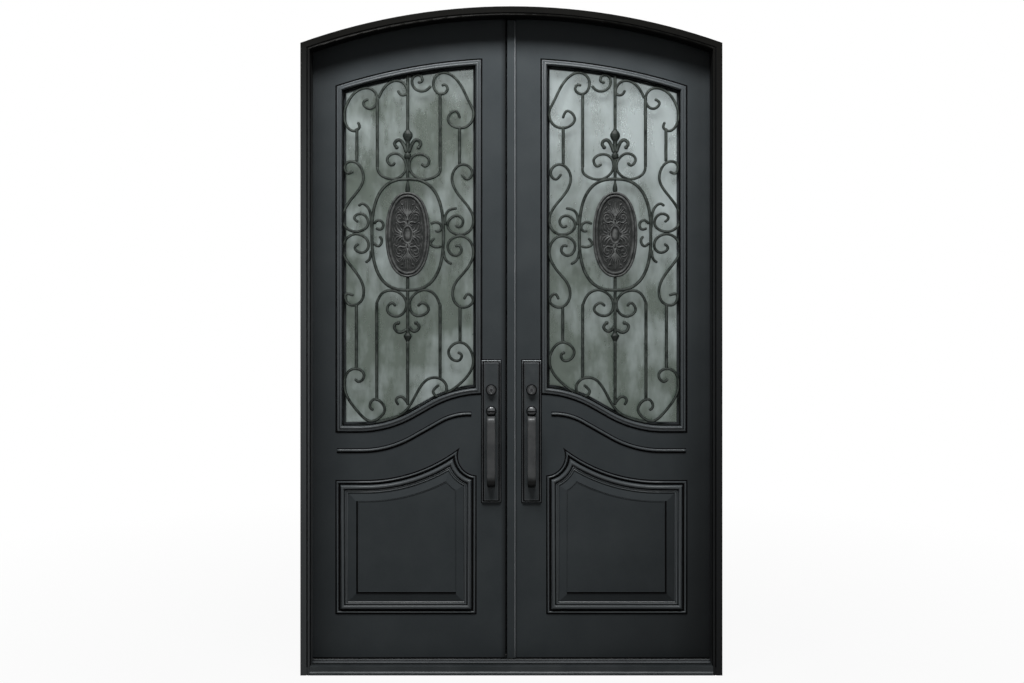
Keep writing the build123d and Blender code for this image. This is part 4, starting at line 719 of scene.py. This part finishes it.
def medallion_surface():
    """A polar grid over the oval. Rows go from the back's middle and rim over the border ridges to
    the front's middle. A field point stands as far forward as a shallow dome and the highest of the
    boss, the strokes and fine veins at its place; a border point as far as the higher ridge."""
    turn = once_round(medallion_turns)
    waves = squared(np.cos(turn), oval_power), squared(np.sin(turn), oval_power)
    inset = np.linspace(0, border_width, border_rows)
    shrink = np.linspace(1, 0, field_rows + 1)[1:]
    x, z = ((room * shrink)[:, None] * wave for room, wave in zip((room_x, room_z), waves))
    from_middle = np.abs(x / room_x) ** oval_power + np.abs(z / room_z) ** oval_power
    from_middle = from_middle ** (1 / oval_power)
    dome = dome_height * np.clip(1 - from_middle**2, 0, 1)
    boss_place = np.hypot(x / boss_half[0], z / boss_half[1])
    boss = np.maximum(half_round((boss_place - 1) / boss_ring_width) * boss_ring_height,
                      half_round(boss_place / boss_heart_size) * boss_heart_height)
    carved = stroke_height(x, z) * (boss_place > 1.1) * stroke_relief
    fan = 70 * np.abs(x) / room_x * (1 - from_middle) + 34 * z / room_z
    veins = vein_height * (0.5 + 0.5 * np.sin(fan))
    field = field_depth - dome - np.maximum(np.maximum(boss, carved), veins)
    ridges = [half_round((inset - middle) / half) * height for middle, half, height in border_ridges]
    border = np.repeat((grille_front + 0.0004 - np.maximum(*ridges))[:, None], medallion_turns, axis=1)
    front = np.minimum(np.concatenate([border, field]), field_depth + 0.0005)
    depth = np.concatenate([np.full((2, medallion_turns), grille_front + bar_depth), front])
    rise = np.concatenate([np.zeros((border_rows + 2, medallion_turns)), dome])
    rub_and_highlight = np.clip((field_depth - 0.0010 - rise - depth) / 0.0034, 0, 1)
    rub_and_highlight[:border_rows + 2] *= 0.4
    x, z = (np.concatenate([np.concatenate([[0, half], half - inset])[:, None] * wave, inner])
            for half, wave, inner in zip(medallion_half, waves, (x, z)))
    return grid_surface(ring_x + x, depth, ring_z + z, rub_and_highlight)


casting = worn_iron("brown_black_casting", (0.0110, 0.0122, 0.0118), (0.0230, 0.0240, 0.0235),
                    (0.125, 0.130, 0.128), 1.0)
both_sides("medallion_relief", [medallion_surface()], casting, "medallion", 180)

# Finials: a forged bud on the upper stem and a drop on the lower one, with a band and a leaf on the
# stem. The curls beside them end in rolled knobs.
curl_width = 0.0115
knob_radius = 0.0078
curls = [
    ([(-1, 82), (-4.5, 91), (-9, 95), (-13, 91.5), (-11, 87.5)], 1.3, 1.1),
    ([(1, 82), (4.5, 91), (9, 95), (13, 91.5), (11, 87.5)], 1.3, 1.1),
    ([(-1, -95), (-8.5, -98), (-13, -94), (-13, -90.5), (-9.5, -88.5)], 1.1, 1.0),
    ([(1, -92), (7, -97), (11.5, -93), (8.5, -88.5)], 1.1, 1.0),
]
# The bud, the drop, the band and the leaf: heights and radii, then how round each is from the side
buds = [
    ([(82, 0), (82.5, 2.4), (86, 2.3), (90, 2.1), (93.5, 2.3), (96, 4.0), (98.5, 5.1), (101, 4.9),
      (103, 3.7), (104.8, 2.2), (105.8, 1.7), (106.3, 0)], 0.62),
    ([(-94, 0), (-94.5, 2.0), (-98, 1.9), (-99.5, 2.8), (-101.5, 4.3), (-104, 3.3), (-106.5, 1.9),
      (-107.5, 1.6), (-108, 0)], 0.66),
    ([(75.8, 0), (76.1, 2.6), (77.2, 3.4), (78.8, 3.6), (80.4, 3.4), (81.6, 2.6), (81.9, 0)], 0.7),
    ([(42.4, 0), (42.8, 2.0), (45, 2.5), (47.5, 2.3), (50.5, 1.6), (53.5, 0.9), (56, 0.5),
      (56.4, 0)], 0.7),
]


def turned_bud(profile, flatness):
    """A profile of pattern heights and radii turned about the stem, its depth cut to a share."""
    at = np.array(profile, float)
    path = np.stack([at[:, 1] * unit_across, ring_z + at[:, 0] * unit_up], axis=1)
    fine = even_steps(path, 0.0022)
    turn = once_round(24)
    # The bud's front is given a paler value: partly polish, partly a painted highlight.
    return grid_surface(ring_x + fine[:, :1] * np.cos(turn),
                        grille_middle + fine[:, :1] * np.sin(turn) * flatness, fine[:, 1:],
                        np.clip(-np.sin(turn) - 0.4, 0, 1) * 0.6)


def curl_knob(end, radius):
    """A flattened ball on the end of a curl, rolled up from the bar's own tip."""
    middle = on_leaf([end])[0]
    tilt = np.linspace(-np.pi / 2, np.pi / 2, 11)[:, None]
    turn = once_round(20)
    # The knob's front half is given a paler value: partly polish, partly a painted highlight.
    return grid_surface(middle[0] + radius * np.cos(tilt) * np.cos(turn),
                        grille_middle - 0.85 * radius * np.sin(tilt),
                        middle[1] + radius * np.cos(tilt) * np.sin(turn),
                        np.clip(np.sin(tilt), 0, 1) * 0.7)


finial_parts = [forged_bar(smooth_line(on_leaf(line), 0.003), curl_width, bar_depth, grille_middle,
                           root=root, tip=tip) for line, root, tip in curls]
finial_parts += [turned_bud(*bud) for bud in buds]
finial_parts += [curl_knob(line[-1], knob_radius) for line, _, _ in curls]
both_sides("finial_forging", finial_parts, grille_iron, "finials", 180)

# Glazing mouldings: a pressed steel frame round each opening, with a rounded lip on its inner side.
# Under it runs the curved bead, a half-round bar. A black strip of painted shade lies at the foot of
# each, as along every moulding of the leaf, so each stands in a thin dark line.
skin_face = 0.0225
glazing_section = [
    (20, -0.4), (20, 2.5), (19, 4.8), (17, 5.8), (14, 6.0), (12, 5.6), (11, 6.6), (9.5, 8.2), (7, 9.3),
    (4.5, 8.8), (2.5, 7.0), (1, 4.2), (0.2, 1.5), (0.2, -0.4),
]
glazing_shade_strip = [(20.2, -0.3), (20.2, 0.7), (22, 1.1), (25.6, 0.6), (25.6, -0.3)]
# The bead: its ends across, its low and high level, its low and high bend, and its crest across
curved_bead = (-0.658, -0.150, 0.819, 0.957, 0.386, 0.220, -0.162)
bead_width, bead_depth = 0.0095, 0.0125
# The strips of painted shade below and above the bead: how far each is moved down, and its width
bead_shade_strips = [(0.0078, 0.0062), (-0.0063, 0.0034)]
shade_strip_depth = 0.0018


def swept_ring(outline, section, slant=0.0):
    """A closed section carried round a closed outline. Each point of the section gives by how many
    millimetres the outline is grown there and how far that line stands off the leaf's skin. The first
    half of the section is moved left and down by the slant."""
    section = np.array(section) * 0.001
    rows = np.array([outline(grow) for grow in section[:, 0]])
    rows[:len(rows) // 2] -= slant
    return grid_surface(rows[:, :, 0], (skin_face - section[:, 1])[:, None], rows[:, :, 1], closed=True)


def square_line(outer, inner, low, high):
    """A flat line's square section, between two growths of the outline and two heights."""
    return [(outer, low), (outer, high), (inner, high), (inner, low)]


def bead_line(drop):
    """The curved bead's line in even steps, moved down by an amount."""
    return even_steps(rising_line(*curved_bead, drop), 0.008)


# Near-black paint for strips laid where shade falls: painted shade.
shade_strip = sprayed_paint("black_shade_strip", (0.0012, 0.0012, 0.0013), (0.0024, 0.0024, 0.0025),
                       0.7, 0.85, 700, 0.3, 0.03)
# The mouldings take a paler, glossier copy of the leaf's enamel, as painted light.
lit_moulding_paint = sprayed_paint("lit_moulding_enamel", (0.031, 0.036, 0.0385), (0.040, 0.0455, 0.0485),
                               0.28, 0.4, 420, 0.14, 0.22)
both_sides("glazing_frame", [
    swept_ring(opening_line, glazing_section),
    forged_bar(bead_line(0), bead_width, bead_depth, skin_face, power=2),
], lit_moulding_paint, "glazing_moulding")
# Strips of painted shade: round the moulding's foot, in the opening's reveal, and below and above the
# bead.
both_sides("glazing_shade_strip_line", [
    swept_ring(opening_line, glazing_shade_strip),
    swept_ring(opening_line, square_line(0.1, -4.6, -6.4, -5.2)),
    *(forged_bar(bead_line(drop), width, shade_strip_depth, skin_face) for drop, width in bead_shade_strips),
], shade_strip, None)

# Panel mouldings: rolled steel strips, mitred and welded round the lower panel. From outside inward
# they are a thin bead, a groove painted dark as painted shade, a bold half-round, and two small beads
# beside the bevel.
panel_outer = 0.659
panel_inner = 0.136
panel_bottom = 0.206
panel_top = 0.7025
sweep_x = 0.552
notch_place = (-0.128, 0.798)
notch_radius = 0.0785
cusp_angle = 166.5
thin_bead = [(0, -0.4), (0, 1.6), (-1, 3.8), (-3, 4.9), (-5, 4.3), (-6.5, 2.4), (-7, 0.8), (-7, -0.4)]
bold_bead = [(-14.5, -0.4), (-14.5, 2), (-15.5, 5), (-17.5, 8), (-20, 10), (-23, 10.8), (-26, 9.8),
             (-28.5, 7.2), (-30, 4), (-30, -0.4)]
small_beads = [(-32, -0.4), (-32, 3), (-33, 4.9), (-35, 5.8), (-37, 4.8), (-37.8, 3), (-38.6, 3),
               (-39.6, 4.4), (-41.5, 4.9), (-43.2, 3.6), (-44, 1.6), (-44, -0.4)]
field_lip = [(-77.6, 7.0), (-77.6, 10.2), (-78.6, 10.6), (-80, 10.0), (-80, 7.0)]


def panel_line(grow):
    """The lower panel's closed outline, grown by an amount: the level foot of the top, its sweep up
    to the cusp, the round notch, and the plumb and level sides."""
    left, right, low = -panel_outer - grow, -panel_inner + grow, panel_bottom - grow
    cusp_x = -notch_place[0] - notch_radius * math.cos(math.radians(cusp_angle))
    rise = notch_place[1] + notch_radius * math.sin(math.radians(cusp_angle)) - panel_top
    sweep_radius = ((sweep_x - cusp_x) ** 2 + rise ** 2) / (2 * rise)
    sweep = np.array((-sweep_x, panel_top + sweep_radius))
    notch = np.array(notch_place)
    first, second = sweep_radius - grow, notch_radius - grow
    apart = np.linalg.norm(notch - sweep)
    reach = (first**2 - second**2 + apart**2) / (2 * apart)
    way = (notch - sweep) / apart
    tip = sweep + reach * way + math.sqrt(first**2 - reach**2) * np.array((way[1], -way[0]))
    ends = [math.degrees(math.atan2(*(tip - centre)[::-1])) for centre in (sweep, notch)]
    last = 360 - math.degrees(math.acos((right - notch[0]) / second))
    return np.concatenate([
        [(left, low), (left, panel_top + grow)],
        arc(sweep, first, -90, ends[0], 18),
        arc(notch, second, ends[1] % 360, last, 16),
        [(right, low)],
    ])


def field_line(grow):
    """The panel's outline grown by an amount, and moved right and up by 4 mm."""
    return panel_line(grow) + 0.004


both_sides("panel_beads", [swept_ring(panel_line, section)
                           for section in (thin_bead, bold_bead, small_beads)],
           lit_moulding_paint, "panel_moulding")
both_sides("panel_field_lip", [swept_ring(field_line, field_lip)], leaf_paint, None)
# Black strips of painted shade: outside the thin bead, in the groove, between the bold and small beads,
# and along the raised field's edge, set towards the lower left as the shadow of its step.
both_sides("panel_shade_strip_lines", [
    swept_ring(panel_line, [(5, -0.3), (4.6, 0.7), (2.5, 1.0), (0.2, 0.7), (0.2, -0.3)]),
    swept_ring(panel_line, square_line(-7.1, -14.4, -0.3, 0.5)),
    swept_ring(panel_line, square_line(-30.1, -31.9, -0.3, 1.4)),
    swept_ring(field_line, [(-74, 6.8), (-74, 9.6), (-77.5, 10.1), (-77.5, 6.8)], slant=0.003),
], shade_strip, None)

# Astragal trim and meeting lips: a fine bead painted pale along the cover strip's right edge as a
# painted highlight, and soft rubber lips and foot pads that close the last gap between the leaves when
# both are shut.
meeting_line = -0.01985
pad_front, pad_back = 0.0660, 0.0715
pad_low, pad_high = 0.0315, 0.0396


def plain_block(low, high):
    """A square-edged block between two corners."""
    x, y, z = zip(low, high)
    points = np.array([(x[i], y[j], z[k]) for i in (0, 1) for j in (0, 1) for k in (0, 1)])
    faces = np.array([(0, 1, 3, 2), (4, 6, 7, 5), (0, 4, 5, 1),
                      (2, 3, 7, 6), (0, 2, 6, 4), (1, 5, 7, 3)])
    return points, faces, np.zeros(8)


def single_piece(name, parts, material, body, crease=180):
    """Adds a piece of which there is only one."""
    points, faces, values = gathered(parts)
    piece = add_surface(name, points, faces, values, material, body, crease)


# Pale paint for a painted highlight along the astragal's right edge.
highlight_edge = sprayed_paint("highlight_edge_enamel", (0.16, 0.17, 0.178), (0.20, 0.21, 0.218),
                            0.3, 0.42, 420, 0.1, 0.3)
highlight_bead_line = even_steps(np.array([(0.0135, 0.0400), (0.0135, 2.4360)]), 0.05)
single_piece("astragal_highlight_bead", [forged_bar(highlight_bead_line, 0.0026, 0.003, 0.0118, power=2)],
             highlight_edge, "right_leaf")
lip_line = even_steps(np.array([(meeting_line, 0.0395), (meeting_line, 2.4530)]), 0.1)
single_piece("meeting_lip_left", [
    forged_bar(lip_line, 0.0012, 0.003, 0.0700),
    plain_block((-0.0300, pad_front, pad_low), (meeting_line, pad_back, pad_high)),
], rubber, "left_leaf", 40)
single_piece("meeting_pad_right", [
    plain_block((meeting_line + 0.0001, pad_front, pad_low), (-0.0141, pad_back, pad_high)),
], rubber, "right_leaf", 40)

# Plates, thumb pieces and inner hardware: dark bronze under wax, brushed lengthways. The plates are
# toned like the leaf, and the thumb pieces and cylinders are the darkest.
def rubbed_bronze(name, deep, pale, metal, smooth, rough, gloss=0.5):
    """Brushed metal under wax: fine lines along Z and a slow change from a deep to a pale colour."""
    material, tree, shader = new_material(name)
    shader.inputs["Metallic"].default_value = metal
    shader.inputs["Specular IOR Level"].default_value = gloss
    place = own_place(tree)
    brushed = noise_node(tree, stretched(tree, place, (40, 40, 1)), 22, 3)
    worn = noise_node(tree, place, 17, 5, 0.6)
    tree.links.new(colour_mix(tree, ramp_node(tree, worn, 0.38, 0.68, 0.0, 1.0), deep, pale),
                   shader.inputs["Base Color"])
    tree.links.new(ramp_node(tree, brushed, 0.3, 0.7, smooth, rough), shader.inputs["Roughness"])
    tree.links.new(bump_node(tree, brushed, 0.25, 0.0002), shader.inputs["Normal"])
    return material


plate_bronze = rubbed_bronze("dark_plate_bronze", (0.032, 0.0365, 0.0385), (0.043, 0.0475, 0.050),
                             0.1, 0.34, 0.5, 0.06)
grip_bronze = rubbed_bronze("worn_grip_bronze", (0.036, 0.038, 0.039), (0.058, 0.060, 0.061),
                            0.2, 0.3, 0.45, 0.12)
collar_bronze = rubbed_bronze("dark_collar_bronze", (0.012, 0.0125, 0.013), (0.024, 0.025, 0.026),
                              0.25, 0.24, 0.36, 0.35)
dress(plate_bronze, *pair("handle_plate", "inner_plate", "turn_button"))
dress(grip_bronze, "inner_lever", "thumbturn")
dress(collar_bronze, *pair("thumb_piece", "cylinder"), "key_plug")

# Outer handle trim. Each plate has a raised edge, painted pale at its top as a painted highlight, and a
# raised tier with a strip of painted shade between them; the lock collar and the hood are painted
# brighter as a painted highlight.
# The grip is one flat bar, forged with a crown, bent sharply out at its top and gently in at its foot,
# painted dark as painted shade.
handle_x = -0.076
plate_low, plate_high = 0.624, 1.158
plate_half = 0.035
plate_face = 0.0145
grip_width, grip_thick = 0.031, 0.010
grip_out = -0.0305
grip_top, grip_foot = 0.947, 0.686
top_bend, foot_bend = 0.017, 0.040
key_z = 1.048
thumb_z = 0.963
collar_radius = 0.0175
collar_profile = [(0.0061, 0.0040), (0.0061, -0.0022), (0.0078, -0.0030), (0.0092, -0.0026),
                  (0.0100, -0.0008), (0.0108, -0.0006), (0.0122, -0.0018), (0.0140, -0.0010),
                  (0.0158, 0.0014), (0.0172, 0.0052), (collar_radius, 0.0090),
                  (collar_radius, 0.0144), (0.0061, 0.0144)]
hood_half, hood_depth, hood_height = 0.016, 0.0090, 0.0155
hood_lift = 0.0062


def plate_line(grow):
    """The plate's oblong outline, grown by an amount."""
    left, right = handle_x - plate_half - grow, handle_x + plate_half + grow
    low, high = plate_low - grow, plate_high + grow
    return np.array([(left, low), (left, high), (right, high), (right, low)])


def shade_strip_round(middle, grow):
    """A circle on the plate, as wide as the lock collar and grown by an amount."""
    a, radius = once_round(48), collar_radius + grow
    return np.stack([handle_x + radius * np.cos(a), middle + radius * np.sin(a)], axis=1)


def grip_bar():
    """The grip: a crowned flat bar along a path in the plane across the plate."""
    path = np.concatenate([
        [(plate_face + 0.001, grip_top)],
        arc((grip_out + top_bend, grip_top - top_bend), top_bend, 90, 180, 10),
        arc((grip_out + foot_bend, grip_foot + foot_bend), foot_bend, 180, 270, 14),
        [(plate_face + 0.001, grip_foot)],
    ])
    points, faces, rub_and_highlight = forged_bar(even_steps(path, 0.003), grip_thick, grip_width, handle_x, 32,
                                    power=3)
    return points[:, [1, 0, 2]], faces, rub_and_highlight


def turned_collar():
    """The lock collar: its profile of radii and depths turned about the key's axis."""
    radius, depth = np.array(collar_profile).T[:, :, None]
    turn = once_round(64)
    return grid_surface(handle_x + radius * np.cos(turn), depth, key_z + radius * np.sin(turn),
                        closed=True)


def thumb_hood():
    """A hood on the plate over the thumb piece: a quarter of a squashed ball, closed by its flat foot
    and back. Each row is a fan over one place across, and ends on the plate."""
    across = np.linspace(-1, 1, 25)[:, None]
    over = np.linspace(0, np.pi / 2, 9)
    tall = half_round(across)
    back = plate_face + 0.0005
    y = np.concatenate([back - hood_depth * tall * np.cos(over), np.full((25, 1), back)], axis=1)
    z = np.concatenate([hood_height * tall * np.sin(over), np.zeros((25, 1))], axis=1)
    return grid_surface(handle_x + hood_half * across, y, z + thumb_z + hood_lift)


edge_bronze = rubbed_bronze("highlight_edge_bronze", (0.030, 0.033, 0.035), (0.042, 0.046, 0.048),
                            0.2, 0.3, 0.45, 0.2)
# Paler bronze for the lock collar and the hood, as a painted highlight.
trim_bronze = rubbed_bronze("highlight_trim_bronze", (0.040, 0.043, 0.045), (0.075, 0.079, 0.081),
                            0.3, 0.22, 0.34, 0.6)
# Painted highlight: the plate's raised edge paler along its top.
overlaid(edge_bronze, share_along(edge_bronze.node_tree, (0, 0, 1), 1.142, 1.150, 0.0, 1.0),
         (0.105, 0.113, 0.118))
# Painted shade: the grip darker towards its foot.
overlaid(grip_bronze, share_along(grip_bronze.node_tree, (0, 0, 1), 0.708, 0.730, 1.0, 0.0),
         (0.006, 0.0062, 0.006))
both_sides("grip_forging", [grip_bar()], grip_bronze, "grip")
both_sides("lock_collar", [turned_collar(), thumb_hood()], trim_bronze, None)
both_sides("plate_edges", [
    swept_ring(plate_line, [(0.2, 0), (0.2, 6.0), (-1, 6.9), (-2.6, 6.2), (-3.2, 4.6), (-3.2, 0)]),
    swept_ring(plate_line, [(-7.8, 4), (-7.8, 8.6), (-9, 9.3), (-10.6, 8.8), (-11.2, 7.4), (-11.2, 4)]),
], edge_bronze, None)
# Near-black strips of painted shade: round the plate, between its edge and its tier, and round the
# collar and the hood.
both_sides("plate_shade_strip_lines", [
    swept_ring(plate_line, square_line(3.6, 0.3, -0.3, 0.8)),
    swept_ring(plate_line, square_line(-3.3, -7.7, 4.6, 5.5)),
    swept_ring(lambda grow: shade_strip_round(key_z, grow), square_line(3.2, 0.1, 7.4, 8.6)),
    swept_ring(lambda grow: shade_strip_round(thumb_z + 0.004, grow), square_line(2.4, -1.2, 7.4, 8.6)),
], shade_strip, None)

# Sill ribs: two rounded ribs drawn on the tread in front of the leaves, with dark lines of painted
# shade beside them, and dark lines of painted shade in the frame's grooves where the paint never
# catches light.
sill_top = 0.031
rib_places = [(0.0125, 0.007, 0.0022), (-0.013, 0.015, 0.0030)]
sill_shade_places = [(0.0045, 0.006), (-0.0275, 0.007), (-0.0395, 0.004)]
shade_strip_height = 0.0007
rail_end = 0.746
frame_half = 0.781
frame_top_radius = 2.3266
rib_metal = sprayed_paint("rubbed_rib", (0.040, 0.044, 0.047), (0.065, 0.070, 0.074),
                          0.34, 0.5, 300, 0.2, 0.15)


def rail_along(y, width, height):
    """A half-sunk rounded rail that lies on the sill from jamb to jamb."""
    line = even_steps(np.array([(-rail_end, y), (rail_end, y)]), 0.1)
    points, faces, values = forged_bar(line, width, 2 * height, sill_top, power=2.4)
    return points[:, [0, 2, 1]], faces, values


def frame_line(inset):
    """The frame's outline from the left foot over the arched head to the right foot, drawn in."""
    half, radius = frame_half - inset, frame_top_radius - inset
    end = math.degrees(math.acos(half / radius))
    return np.concatenate([[(-half, sill_top)], arc((0, arch_centre_z), radius, 180 - end, end, 60),
                           [(half, sill_top)]])


def frame_strip(outer, inner, front, back):
    """A thin strip with a square section carried along the frame's outline, with both ends closed."""
    rows = np.array([frame_line(inset) for inset in (outer, inner, inner, outer)])
    depth = np.array([front, front, back, back])[:, None]
    points, faces, values = grid_surface(rows[:, :, 0], depth, rows[:, :, 1], closed=True)
    walls = faces.reshape(4, -1, 4)[:, :-1].reshape(-1, 4)
    count = rows.shape[1]
    ends = np.array([(0, count, 2 * count, 3 * count),
                     (4 * count - 1, 3 * count - 1, 2 * count - 1, count - 1)])
    return points, np.concatenate([walls, ends]), values


single_piece("sill_ribs", [rail_along(*place) for place in rib_places], rib_metal, "frame")
# Dark lines of painted shade: beside the sill ribs, in the frame's groove, and on its side wall behind
# the bead.
single_piece("frame_dark_lines", [rail_along(*place, shade_strip_height) for place in sill_shade_places] + [
    frame_strip(0.0222, 0.0258, -0.0702, -0.0693),
    frame_strip(0.0337, 0.0343, -0.0640, -0.0420),
], shade_strip, "frame", 40)

# Hinges, pins and bolts: bright steel, drawn or turned, with fine lines along the leaf's height.
hinge_steel = rubbed_bronze("drawn_steel", (0.20, 0.20, 0.205), (0.33, 0.33, 0.335), 1.0, 0.28, 0.44)
lock_steel = rubbed_bronze("ground_steel", (0.34, 0.335, 0.325), (0.5, 0.495, 0.48), 1.0, 0.24, 0.4)
washer_brass = rubbed_bronze("plain_brass", (0.48, 0.34, 0.13), (0.62, 0.46, 0.2), 1.0, 0.26, 0.42)
dress(hinge_steel, "fixed_hinge_halves", "hinge_pins",
      *pair("leaf_hinges", "sash_hinge_posts", "sash_knuckles"))
dress(lock_steel, "lock_case", "latchbolt", "deadbolt", "strike_plate", "flush_bolt_top",
      "flush_bolt_bottom")
dress(washer_brass, "hinge_washers")
